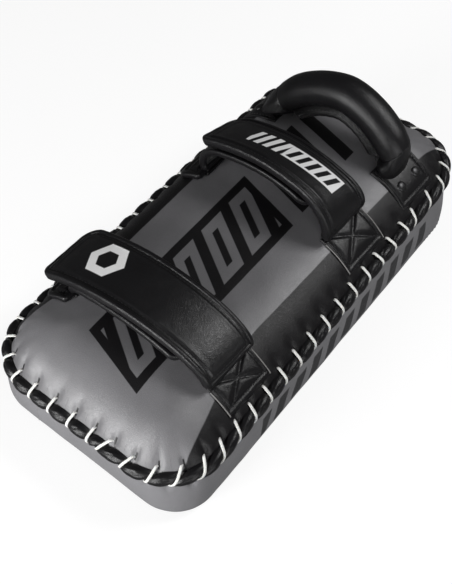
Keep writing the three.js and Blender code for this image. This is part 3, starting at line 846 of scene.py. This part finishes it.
def lacing():
    """One flat cord: over the rim from a wall hole to a cover hole, and back inside the pad to the next."""
    outside = np.array(LACE_OUTSIDE)
    inside = np.array([(8.6, -5.0)])
    loop = spline(np.vstack([outside, inside, outside[:1]]), 6)
    arc = lengths_along(loop)
    outer_end = arc[(len(outside) - 1) * 6]
    steps = 44
    places = np.linspace(0, arc[-1], steps, endpoint=False)
    inset, rise = read_off(places, arc, loop).T
    outer_share = np.clip(places / outer_end, 0, 1)
    inner_share = np.clip((places - outer_end) / (arc[-1] - outer_end), 0, 1)
    number = np.repeat(np.arange(LACES), steps)
    repeated = (np.tile(values, LACES) for values in (inset, rise, outer_share, inner_share))
    inset, rise, outer_share, inner_share = repeated
    following = (number + 1) % LACES
    advance = (LACE_PLACE[following] - LACE_PLACE[number]) % LACES
    return_run = advance - LACE_LEAN[number] - LACE_LEAN[following]
    leaned = LACE_LEAN[number] * (2 * outer_share - 1)
    turn = (LACE_PLACE[number] + leaned + inner_share * return_run) / LACES
    path, out = rim_path(turn, inset, rise)
    direction = unit(np.roll(path, -1, 0) - np.roll(path, 1, 0))
    centre, _ = rim_path(turn, WELT_INSET + 3.0, -1.0)
    away = unit(path - centre)
    side = unit(np.cross(direction, away))
    away = np.cross(side, direction)
    section = round_section(CORD_WIDTH, CORD_THICKNESS, power=0.75)
    points, faces = sweep(path, side, away, section, looped=True)
    place = np.zeros(points.shape)
    place[:, 0] = np.repeat(lengths_along(path), len(section)) * MM
    place[:, 1] = np.tile(section[:, 0], len(path)) * MM
    mesh_piece("lacing", (points, faces), CORD, "pad_body", ["lacing_cord"], place)


def seam_stitching():
    """Fine stitches along the strike face seam, and down the closing seam of the wall at the near end."""
    turn = np.arange(900) / 900
    path = wall_shape(turn[None], np.array([[0.035]]))[0]
    _, out = outline(turn, 0.0)
    sewn = stitches(path, with_height(out), 4.2, 3.0, 0.35)
    mesh_piece("strike_seam_stitching", sewn, THREAD)
    upright = wall_shape(np.array([[CLOSING_SEAM_TURN]]), np.linspace(0.08, 0.82, 60)[:, None])[:, 0]
    facing = np.tile([[0.0, -1.0, 0.0]], (60, 1))
    mesh_piece("wall_closing_stitching", stitches(upright, facing, 3.4, 2.4, 0.4), RAW_EDGE)


# ---------- straps ----------
class Strap:
    """Turns strap coordinates into points: s along it from the fold, v across, h above its middle."""

    def __init__(self, name, profile, centre, halves, twist, thickness, up, radii):
        """up is 1 where the outer face is to the left of the profile's run; radii start at the near fold."""
        self.name = name
        self.profile = resample(spline(profile), 400)
        self.length = lengths_along(self.profile)[-1]
        self.centre = centre
        self.halves = halves
        self.twist = twist
        self.half_thick = thickness / 2
        self.up = up
        self.radii = radii

    def place(self, s, v, h):
        """Points in space; beyond either end the strap runs straight on."""
        s, v, h = np.broadcast_arrays(s, v, h)
        arc = np.linspace(0, self.length, len(self.profile))
        tangent = unit(np.gradient(self.profile, axis=0))
        x, z = (np.interp(s, arc, column) for column in self.profile.T)
        tx, tz = (np.interp(s, arc, column) for column in tangent.T)
        beyond = np.minimum(s, 0) + np.maximum(s - self.length, 0)
        x = x + tx * beyond
        z = z + tz * beyond
        twist = self.twist * smooth(s / self.length, 0, 0.3)
        return np.stack([x - tz * h * self.up, self.centre + v, z + tx * h * self.up + twist * v], -1)

    def half_width(self, s):
        return lerp(self.halves[0], self.halves[1], s / self.length)

    def outline(self, inset, count=360):
        """A closed run of (s, v) round the strap, inset from its edge, with rounded corners."""
        path = []
        for radius, start, free, right in zip(self.radii, (180, 270, 0, 90), (-1, 1, 1, -1), (-1, -1, 1, 1)):
            s = inset if free < 0 else self.length - inset
            reach = max(radius - inset, 0.6)
            centre = np.array([s - reach * free, right * (self.half_width(s) - inset - reach)])
            angles = np.radians(np.linspace(start, start + 90, 12))
            path += [centre + reach * np.array([math.cos(a), math.sin(a)]) for a in angles]
        path.append(path[0])
        return resample(np.array(path), count + 1)[:-1]

    def grid(self, inset, rows=96, columns=36):
        """A grid of (s, v) over the strap inside an inset, following its rounded corners."""
        share = 0.5 - 0.5 * np.cos(np.linspace(0, math.pi, rows))
        share = lerp(np.linspace(0, 1, rows), share, 0.6)
        s = lerp(inset, self.length - inset, share)[:, None]
        width = self.half_width(s) - inset
        limits = []
        for pair in (self.radii[:2], self.radii[:1:-1]):
            limits.append(width)
            for radius, gap in zip(pair, (s - inset, self.length - inset - s)):
                reach = max(radius - inset, 0.6)
                depth = np.clip(reach - gap, 0, reach)
                limits[-1] = limits[-1] - reach + np.sqrt(reach ** 2 - depth ** 2)
        across = np.linspace(-1, 1, columns)[None, :]
        across = lerp(across, np.sin(across * math.pi / 2), 0.5)
        v = np.where(across < 0, across * limits[0], across * limits[1])
        return np.broadcast_to(s, v.shape), v

    def edge_distance(self, s, v):
        """Distance in from the strap's edge."""
        radius = np.array(self.radii).take(np.where(s > self.length / 2, 1 + (v > 0), 3 * (v > 0)))
        qs = np.abs(s - self.length / 2) - (self.length / 2 - radius)
        qv = np.abs(v) - (self.half_width(s) - radius)
        return radius - np.hypot(np.maximum(qs, 0), np.maximum(qv, 0)) - np.minimum(np.maximum(qs, qv), 0)


LOWER_PROFILE = [
    (69, 87.5), (67, 95), (60, 102), (47, 109), (28, 114), (3, 116.5), (-25, 115), (-47, 111), (-70, 104),
    (-89, 95),
]
LOWER_UNDER_PROFILE = [
    (-63, 92), (-61.5, 96.5), (-56, 100), (-46, 102.5), (-25, 105.8), (3, 107.3), (28, 105), (45, 100.5),
]
UPPER_PROFILE = [
    (59, 99), (60, 107), (57, 115), (48.5, 124), (34, 131), (3, 137), (-20, 136), (-44, 131), (-62, 124.5),
]
UPPER_UNDER_PROFILE = [
    (-60, 98), (-62, 106), (-60, 113), (-53, 118.5), (-44, 121.5), (-20, 126.5), (3, 127.5), (28, 123),
    (40, 117),
]
LOWER_RUN = (-100.5, (26, 28.5), 0.0)  # middle, half widths at the fold and at the free end, and twist
UPPER_RUN = (51, (25, 25.5), -0.28)
LOWER = Strap("lower_strap", LOWER_PROFILE, *LOWER_RUN, 8, -1, (3, 7, 15, 3))
LOWER_UNDER = Strap("lower_under_strap", LOWER_UNDER_PROFILE, *LOWER_RUN, 6, 1, (3, 9, 9, 3))
UPPER = Strap("upper_strap", UPPER_PROFILE, *UPPER_RUN, 8, -1, (3, 7, 18, 3))
UPPER_UNDER = Strap("upper_under_strap", UPPER_UNDER_PROFILE, *UPPER_RUN, 6, 1, (3, 9, 9, 3))

BINDING_REACH = 5.2
FLAP_REACH = 5.0
STITCH_INSET = 6.3
SHEET_INSET = 3.4
TAPE_INSET = 9.0


def padded_height(strap, s, v, seed):
    """Height of a strap's leather over its middle: valley at the stitches, ridge inside, soft crown."""
    edge = strap.edge_distance(s, v)
    crown = 1.1 * np.clip(1 - (v / strap.half_width(s)) ** 2, 0, 1)
    valley = 0.95 * bump(edge - STITCH_INSET, 1.05)
    ridge = 0.45 * bump(edge - 8.6, 1.3)
    tuck = 0.9 * (1 - smooth(edge, 3.4, 5.4))
    return strap.half_thick - 0.9 + crown + ridge - valley - tuck + 0.16 * ripple(s, v, seed, 34)


def strap_sheet(strap, side, inset, seed):
    """Leather or lining on one side of a strap, as a thin closed sheet; side is 1 on its outer face."""
    s, v = strap.grid(inset)
    height = padded_height(strap, s, v, seed)
    if side < 0:
        height = height - 0.5 * bump(v / strap.half_width(s), 0.9)
    top = strap.place(s, v, side * height)
    bottom = strap.place(s, v, side * (height - 1.0))
    place = np.stack([s, v, 0 * s], -1).reshape(-1, 3) * MM
    return slab(top, bottom), np.vstack([place, place])


def strap_foam(strap):
    s, v = strap.grid(3.6, 60, 20)
    height = padded_height(strap, s, v, 1) - 1.3
    return slab(strap.place(s, v, height), strap.place(s, v, 0.45 - height))


def strap_binding(strap):
    """The leather roll folded round a strap's edge, with faint puckers along it."""
    path = strap.outline(BINDING_REACH / 2)
    tangent = unit(np.roll(path, -1, 0) - np.roll(path, 1, 0))
    inward = np.stack([-tangent[:, 1], tangent[:, 0]], -1)
    angle = circle(22)[None, :]
    run = lengths_along(np.vstack([path, path[:1]]))[:-1, None]
    puff = 1 + 0.035 * ripple(run, angle * 3, 31, 11)
    cos, sin = np.cos(angle), np.sin(angle)
    reach = power_keeping_sign(cos, 0.8) * BINDING_REACH / 2 * puff
    height = power_keeping_sign(sin, 0.75) * (strap.half_thick + 0.15) * puff
    height = height * (1 - 0.12 * (cos > 0.55))
    s = path[:, :1] + inward[:, :1] * reach
    v = path[:, 1:] + inward[:, 1:] * reach
    return skin(strap.place(s, v, height), looped=True)


def strap_stitching(strap, side, inset=STITCH_INSET):
    path = strap.outline(inset, 500)
    path = np.vstack([path, path[:1]])
    s, v = path[:, 0], path[:, 1]
    height = padded_height(strap, s, v, 1) + 0.12
    points = strap.place(s, v, side * height)
    normal = unit(strap.place(s, v, side * (height + 1)) - points)
    return stitches(points, normal, 3.3, 2.4, 0.38)


def strap_tape(strap, side, shares):
    """A panel of hook or loop tape with rounded corners and a raised pile."""
    s = np.linspace(*(share * strap.length for share in shares), 80)[:, None]
    half_width = strap.half_width(s) - TAPE_INSET
    v = np.linspace(-1, 1, 30)[None, :] * half_width
    edge = np.minimum(np.minimum(s - s[0], s[-1] - s), half_width - np.abs(v))
    height = padded_height(strap, s, v, 1) - 0.3 + 0.8 * smooth(edge, -0.2, 1.2)
    return slab(strap.place(s, v, side * height), strap.place(s, v, side * (height - 1.1)))


def build_strap(strap, top_material, tape, tape_material, shares):
    """All the finished pieces of one strap; the tape is on its inner face where it is the hook half."""
    name = strap.name
    tape_side = -1 if tape == "hook_patch" else 1
    outer, place = strap_sheet(strap, 1, SHEET_INSET, 1)
    lining, _ = strap_sheet(strap, -1, SHEET_INSET, 2)
    mesh_piece(name + "_outer_leather", outer, top_material, name, [name + "_outer"], place=place)
    mesh_piece(name + "_lining_cloth", lining, LINING, name, [name + "_lining"])
    mesh_piece(name + "_padding", strap_foam(strap), FOAM, name, [name + "_foam"])
    mesh_piece(name + "_edge_binding", strap_binding(strap), BLACK_LEATHER, name, [name + "_binding"])
    rows = join([strap_stitching(strap, 1), strap_stitching(strap, -1)])
    mesh_piece(name + "_stitching", rows, THREAD, name)
    mesh_piece(name + "_" + tape + "_tape", strap_tape(strap, tape_side, shares), tape_material, name,
               [f"{name}_{tape}"])
    hinge_flap(strap)


def hinge_flap(strap):
    """The strip of leather that a strap folds on, following the strap from just beyond its fold to a little
    way along it.
    """
    s = np.linspace(-FLAP_REACH, 2 * FLAP_REACH, 16)[:, None]
    v = np.linspace(-1, 1, 20)[None, :] * (strap.half_width(0) - 3.5)
    shape = slab(strap.place(s, v, 0.9), strap.place(s, v, -0.9))
    piece = mesh_piece(strap.name + "_hinge_leather", shape, BLACK_LEATHER, None)
    start, end = strap.place(np.array([-FLAP_REACH, 2 * FLAP_REACH]), 0.0, 0.0) * MM
    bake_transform(piece)


# ---------- patches sewn to the back ----------
PATCH_LIFT = 0.4
PATCH_THICKNESS = 1.6
PATCH_HEM = 3.0
PATCH_EDGE_INSET = 9.6
BASE_LIFT = 3.4


def patch_outer(y):
    return (HALF_WIDTH - PATCH_EDGE_INSET) * narrowing(y)


def on_back(x, y, lift):
    """Points a distance above the back leather."""
    return np.stack(np.broadcast_arrays(x, y, back_height(x, y) + lift), -1)


def patch(x_from, x_to, centre, half_width, seed, cross=True):
    """A leather patch on the padded back, turned down at its edges and full between its stitch lines."""
    share = np.linspace(0, 1, 40)[:, None]
    across = np.linspace(-1, 1, 56)[None, :]
    x = lerp(x_from, x_to, share)
    y = centre + across * half_width
    length = abs(x_to - x_from)
    edge = np.minimum(np.minimum(share * length, (1 - share) * length), (1 - np.abs(across)) * half_width)
    diagonal = np.minimum(np.abs(share - 0.5 - across / 2), np.abs(share - 0.5 + across / 2)) * length
    diagonal = diagonal if cross else diagonal + length
    sewn = bump(edge - PATCH_HEM, 0.9) + bump(diagonal, 0.9) * (edge > 2)
    swell = 0.9 * smooth(edge, 3, 7) * smooth(diagonal, 0.5, 4) + 0.15 * ripple(x, y, seed, 20)
    lift = PATCH_LIFT + PATCH_THICKNESS * smooth(edge, -0.8, 0.8) + swell - 0.9 * np.clip(sewn, 0, 1)
    return slab(on_back(x, y, lift), on_back(x, y, np.full(lift.shape, PATCH_LIFT - 1.2)))


def patch_stitching(x_from, x_to, centre, half_width, cross):
    """Stitches round a patch, and across its diagonals where it carries a box and cross."""
    left, right = min(x_from, x_to) + PATCH_HEM, max(x_from, x_to) - PATCH_HEM
    near, far = centre - half_width + PATCH_HEM, centre + half_width - PATCH_HEM
    corners = [(left, near), (right, near), (right, far), (left, far)]
    parts = []
    for first, last in ((0, 1), (1, 2), (2, 3), (3, 0)) + ((0, 2), (1, 3)) * cross:
        line = np.linspace(corners[first], corners[last], 60)
        points = on_back(*line.T, PATCH_LIFT + PATCH_THICKNESS - 0.35)
        parts.append(stitches(points, np.tile([[0.0, 0.0, 1.0]], (60, 1)), 3.0, 2.4, 0.5))
    return join(parts)


PATCH_HALF_WIDTH = 23


def raw_edges(x_from, x_to, centre):
    """The pale cut edges of a patch, along its near and far sides."""
    parts = []
    x = np.linspace(x_from, x_to, 30)
    section = round_section(1.0, 0.8, 8)
    for y in (centre - PATCH_HALF_WIDTH, centre + PATCH_HALF_WIDTH):
        path = on_back(x, np.full(30, float(y)), PATCH_LIFT + 0.7 * PATCH_THICKNESS)
        across = np.tile([[0.0, 1.0, 0.0]], (30, 1))
        upward = unit(np.cross(np.gradient(path, axis=0), across))
        parts.append(sweep(path, across, upward, section))
    return join(parts)


def closure_patches(name, strap, under_strap):
    """The patches under both ends of a closure, with their stitches and cut edges."""
    centre = strap.centre
    fold_x = strap.profile[0, 0]
    under_fold_x = under_strap.profile[0, 0]
    outer = patch_outer(centre)
    layers = {"strap": (fold_x - 4, outer, 41), "under_strap": (-outer, under_fold_x + 3, 43)}
    for layer, (x_from, x_to, seed) in layers.items():
        leather_shape = patch(x_from, x_to, centre, PATCH_HALF_WIDTH, seed)
        anchor = f"{name}_{layer}_anchor_patch"
        mesh_piece(f"{name}_{layer}_patch", leather_shape, BLACK_LEATHER, replaced=[anchor])
    sewn = join([patch_stitching(*ends, centre, PATCH_HALF_WIDTH, True)
                 for ends in ((fold_x + 4, outer), (-outer, under_fold_x - 3))])
    mesh_piece(name + "_patch_stitching", sewn, THREAD)
    mesh_piece(name + "_patch_raw_edges", raw_edges(fold_x + 2, outer, centre), RAW_EDGE)
    under_strap_base(name, centre, under_fold_x, 53)


class SewnBase(Strap):
    """The sewn-down end of an under strap: s runs inboard from the rim, over the padded back."""

    def __init__(self, name, centre, start, length):
        run = [(start, 0), (start + length, 0)]
        super().__init__(name, run, centre, (30, 28.5), 0.0, 6, 1, (8, 3, 3, 8))
        self.start = start

    def place(self, s, v, h):
        s, v, h = np.broadcast_arrays(s, v, h)
        return on_back(self.start + s, self.centre + v, BASE_LIFT + h)


def under_strap_base(name, centre, fold_x, seed):
    """The piped layer on the patch, from near the rim to the fold where the under strap turns up."""
    start = 3 - patch_outer(centre)
    base = SewnBase(name + "_under_strap_base", centre - 4, start, fold_x + 1 - start)
    sheet, _ = strap_sheet(base, 1, SHEET_INSET, seed)
    mesh_piece(base.name + "_leather", sheet, BLACK_LEATHER)
    mesh_piece(base.name + "_binding", strap_binding(base), BLACK_LEATHER)
    mesh_piece(base.name + "_stitching", strap_stitching(base, 1), THREAD)


# ---------- handle ----------
HANDLE_Y = 123.5
HANDLE_BASE = 99.0
HANDLE_HALF_SPAN = 58.5
HANDLE_X = 5.0
HANDLE_RISE = 43.0
HANDLE_LEAN = 0.18
HANDLE_RADIUS = 14.8
HANDLE_POWER = 1.2
HANDLE_START = 0.12
HANDLE_FEET = {1: (57.0, 8.5), -1: (-61.5, 10.0)}  # middle and half length of each sewn-down end
FOOT_HALF_WIDTH = 15.5
FIN_ANGLE = 0.75
TAB_Y = 126.0
TAB_INNER_X = 48.0
TAB_HALF_WIDTH = 21.0
RIVET_X = 72.0
RIVET_SPACING = 20.0
RIVET_RADIUS = 5.6
SLEEVE_ENDS = 0.95


def handle_path():
    """Centre line of the handle, its inward directions and the direction across it."""
    angle = np.linspace(math.pi, 0, 800)
    x = power_keeping_sign(np.cos(angle), HANDLE_POWER)
    rise = HANDLE_RISE * np.abs(np.sin(angle)) ** HANDLE_POWER
    y = HANDLE_Y + HANDLE_LEAN * rise
    full = np.stack([HANDLE_X + HANDLE_HALF_SPAN * x, y, HANDLE_BASE + rise], -1)
    arc = lengths_along(full)
    places = np.linspace(HANDLE_START, 1 - HANDLE_START, 160) * arc[-1]
    path = read_off(places, arc, full)
    across = unit(np.array([0.0, 1.0, HANDLE_LEAN]))
    inward = unit(np.cross(across, np.gradient(path, axis=0)))
    return path, inward, across, places


def handle_sleeve():
    """The padded sleeve: a little drawn in at both ends, and wrinkled on the inside of its bend."""
    path, inward, across, places = handle_path()
    share = np.linspace(0, 1, len(path))
    from_end = np.minimum(share, 1 - share)
    size = lerp(SLEEVE_ENDS, 1, smooth(from_end, 0, 0.1))
    angle = circle(56)[None, :]
    inside = np.clip(np.cos(angle), 0, 1)
    run = places[:, None]
    folds = 0.35 * inside ** 2 * np.sin(2 * math.pi * run / 7.5 + 1.2 * ripple(run, angle * 6, 8, 30))
    fin = angle - (2 * math.pi - FIN_ANGLE)
    pulled = 1.3 * bump(fin, 0.16)
    wave = 0.25 * ripple(run, 14 * np.cos(angle), 9, 70)
    radius = HANDLE_RADIUS * size[:, None] + folds - pulled + wave
    rings = path[:, None] + (radius * np.cos(angle))[..., None] * inward[:, None]
    rings = rings + (radius * np.sin(angle))[..., None] * across
    mesh_piece("handle_sleeve_leather", skin(rings), BLACK_LEATHER, "handle", ["handle_sleeve"])


def fin_seam():
    """The stitched flange along the inside of the sleeve: two piped edges pressed together."""
    path, inward, across, places = handle_path()
    path, inward, places = path[1:-1], inward[1:-1], places[1:-1]
    away = math.cos(FIN_ANGLE) * inward - math.sin(FIN_ANGLE) * across
    beside = math.sin(FIN_ANGLE) * inward + math.cos(FIN_ANGLE) * across
    from_end = np.minimum(np.linspace(0, 1, len(path)), np.linspace(1, 0, len(path)))
    taper = smooth(from_end, -0.01, 0.09)[:, None]
    wave = 0.12 * np.sin(2 * math.pi * places / 9)[:, None]
    parts = []
    angle = circle(14)
    width = 1.4 + 0.7 * bump(np.sin(angle) - 1, 0.5)
    for offset, height in ((1.5, 7.4), (-1.5, 6.4)):
        out = HANDLE_RADIUS - 2.5 + (np.sin(angle) + 1) / 2 * (height + 2.5) * taper + wave
        spread = (offset + width * np.cos(angle))[:, None]
        rings = path[:, None] + out[..., None] * away[:, None] + spread * beside[:, None]
        parts.append(skin(rings))
    mesh_piece("handle_fin_seam_leather", join(parts), BLACK_LEATHER, "handle", ["handle_fin_seam"])
    rows = []
    for offset in (3.0, -3.0):
        line = path + away * (HANDLE_RADIUS + 2.4) + beside * offset
        rows.append(stitches(line, beside * np.sign(offset), 3.6, 2.6, 0.4))
    mesh_piece("handle_fin_stitching", join(rows), THREAD, "handle")


def handle_end(name, side):
    """The flattened end of the sleeve, sewn down on its tab; it bends between the pad and the handle."""
    path, inward, across, _ = handle_path()
    last = -1 if side > 0 else 0
    top, facing = path[last], inward[last]
    foot_x, foot_half = HANDLE_FEET[side]
    angle = circle(48)
    cos, sin = np.cos(angle), np.sin(angle)
    radius = HANDLE_RADIUS * SLEEVE_ENDS - 0.25
    upper = top + radius * np.outer(cos, facing) + radius * np.outer(sin, across)
    x = foot_x - side * power_keeping_sign(cos, 0.75) * foot_half
    y = HANDLE_Y + 1.5 + power_keeping_sign(sin, 0.7) * FOOT_HALF_WIDTH
    lower = on_back(x, y, 1.4)
    rings = []
    for share in np.linspace(0, 1, 16):
        ring = lerp(upper, lower, share)
        belly = (1.5 - 0.3 * np.sin(7 * angle + 3 * share)) * math.sin(math.pi * share)
        middle = ring.mean(0)
        outward = unit((ring - middle) * np.array([1.0, 1.0, 0.0]))
        rings.append(ring + outward * belly[:, None])
    piece = mesh_piece(f"handle_end_{name}", skin(np.array(rings)), BLACK_LEATHER, None)
    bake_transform(piece)


RIVET_PROFILE = [  # (share of the radius, height)
    (0.97, -1.2), (1.0, 0.1), (1.0, 0.5), (0.9, 0.75), (0.8, 0.8), (0.78, 1.1), (0.72, 1.9), (0.55, 2.5),
    (0.3, 2.85), (0.06, 2.95),
]


def rivet(name, side, end):
    """A domed snap rivet on its washer."""
    x = side * RIVET_X
    y = TAB_Y + end * RIVET_SPACING / 2
    fall_x = back_height(x - 1, y) - back_height(x + 1, y)
    fall_y = back_height(x, y - 1) - back_height(x, y + 1)
    up = unit(np.array([fall_x, fall_y, 2.0]))
    right = unit(np.cross([0.0, 1.0, 0.0], up))
    ahead = np.cross(up, right)
    foot = np.array([x, y, back_height(x, y) + 1.6])
    angle = circle(32)
    around = np.outer(np.cos(angle), right) + np.outer(np.sin(angle), ahead)
    rings = [foot + height * up + RIVET_RADIUS * radius * around for radius, height in RIVET_PROFILE]
    mesh_piece(f"snap_rivet_{name}", skin(np.array(rings)), METAL, "pad_body", [f"handle_rivet_{name}"])


def handle_tabs():
    for name, side in (("right", 1), ("left", -1)):
        ends = (side * TAB_INNER_X, side * patch_outer(TAB_Y))
        leather_shape = patch(*ends, TAB_Y, TAB_HALF_WIDTH, 47, False)
        sewn = patch_stitching(*ends, TAB_Y, TAB_HALF_WIDTH, False)
        tab = f"handle_tab_{name}"
        mesh_piece(tab + "_leather", leather_shape, BLACK_LEATHER, "pad_body", [tab])
        mesh_piece(tab + "_stitching", sewn, THREAD)
        for label, end in (("near", -1), ("far", 1)):
            rivet(f"{name}_{label}", side, end)
        handle_end(name, side)


# ---------- what stays inside ----------
def carried_nodes():
    """The foam and webbing that stay as the frame has them, with their own materials."""
    finish = {"foam": FOAM, "webbing": WEBBING}
    slots = {row["node"]: row["material_slot"] for row in frame["record"]["subparts"]}
    for node, piece in frame["nodes"].items():
        if slots[node] in finish and not piece.hide_render:
            piece.data.materials.clear()
            piece.data.materials.append(finish[slots[node]])


# ---------- floor, light and camera ----------
FLOOR_REACH = 6.0
FLOOR_GLOW = 0.8
SURROUND_LIGHT = 0.08
LIGHT_AIM = Vector((0, 0, 0.06))
CAMERA_PLACE = (0.31936, -0.39113, 0.68898)
CAMERA_TURN = (36.744, 1.179, 39.184)  # degrees about X, Y and Z
CAMERA_LENS = 61.64
CAMERA_SENSOR = 36.0
SOFTBOXES = (  # (name, position, size, power)
    ("back_softbox", (0.62, 0.62, 1.15), 0.5, 11),
    ("front_softbox", (-0.2, -1.2, 0.34), 0.6, 18),
    ("right_softbox", (1.4, -0.9, 0.35), 0.7, 9),
)


def studio():
    """A pale floor, a white surround and three softboxes."""
    mesh = bpy.data.meshes.new("floor")
    corners = [(x * FLOOR_REACH, y * FLOOR_REACH, 0) for x, y in ((-1, -1), (1, -1), (1, 1), (-1, 1))]
    mesh.from_pydata(corners, [], [(0, 1, 2, 3)])
    floor = add_object("floor", mesh)
    shader = Shader("pale_floor")
    seen = shader.node("ShaderNodeLightPath").outputs["Is Camera Ray"]
    shader.set(Base_Color=(0.25, 0.25, 0.25, 1), Roughness=0.95, Specular_IOR_Level=0.0)
    shader.set(Emission_Color=(1, 1, 1, 1), Emission_Strength=shader.maths("MULTIPLY", seen, FLOOR_GLOW))
    mesh.materials.append(shader.material)
    bpy.context.scene.world = studio_world()
    for softbox in SOFTBOXES:
        area_light(*softbox)


def studio_world():
    """White to the camera and dim to everything else, so that dark leather keeps its depth."""
    world = bpy.data.worlds.new("studio")
    world.use_nodes = True
    nodes = world.node_tree.nodes
    links = world.node_tree.links
    strength = nodes.new("ShaderNodeMapRange")
    strength.inputs["To Min"].default_value = SURROUND_LIGHT
    links.new(nodes.new("ShaderNodeLightPath").outputs["Is Camera Ray"], strength.inputs["Value"])
    links.new(strength.outputs[0], nodes["Background"].inputs["Strength"])
    nodes["Background"].inputs["Color"].default_value = (1, 1, 1, 1)
    return world


def area_light(name, position, size, power):
    light = bpy.data.lights.new(name, "AREA")
    light.size = size
    light.energy = power
    lamp = add_object(name, light)
    lamp.location = position
    aim = LIGHT_AIM - Vector(position)
    lamp.rotation_euler = aim.to_track_quat("-Z", "Y").to_euler()


def camera():
    """A camera above the near right corner, looking down along the pad."""
    lens = bpy.data.cameras.new("camera")
    lens.lens = CAMERA_LENS
    lens.sensor_width = CAMERA_SENSOR
    viewer = add_object("camera", lens)
    turn = Euler([math.radians(angle) for angle in CAMERA_TURN])
    viewer.matrix_world = Matrix.Translation(CAMERA_PLACE) @ turn.to_matrix().to_4x4()
    bpy.context.scene.camera = viewer
    bpy.context.scene.view_settings.view_transform = "Standard"


back_cover()
side_wall()
strike_face()
rim_binding()
lacing()
seam_stitching()
for closure, top_strap, lower_layer, top_leather in (
        ("lower", LOWER, LOWER_UNDER, LOWER_TOP), ("upper", UPPER, UPPER_UNDER, UPPER_TOP)):
    build_strap(top_strap, top_leather, "hook_patch", HOOK, (0.45, 0.93))
    build_strap(lower_layer, BLACK_LEATHER, "loop_patch", LOOP, (0.42, 0.9))
    closure_patches(closure, top_strap, lower_layer)
handle_sleeve()
fin_seam()
handle_tabs()
carried_nodes()
studio()
camera()
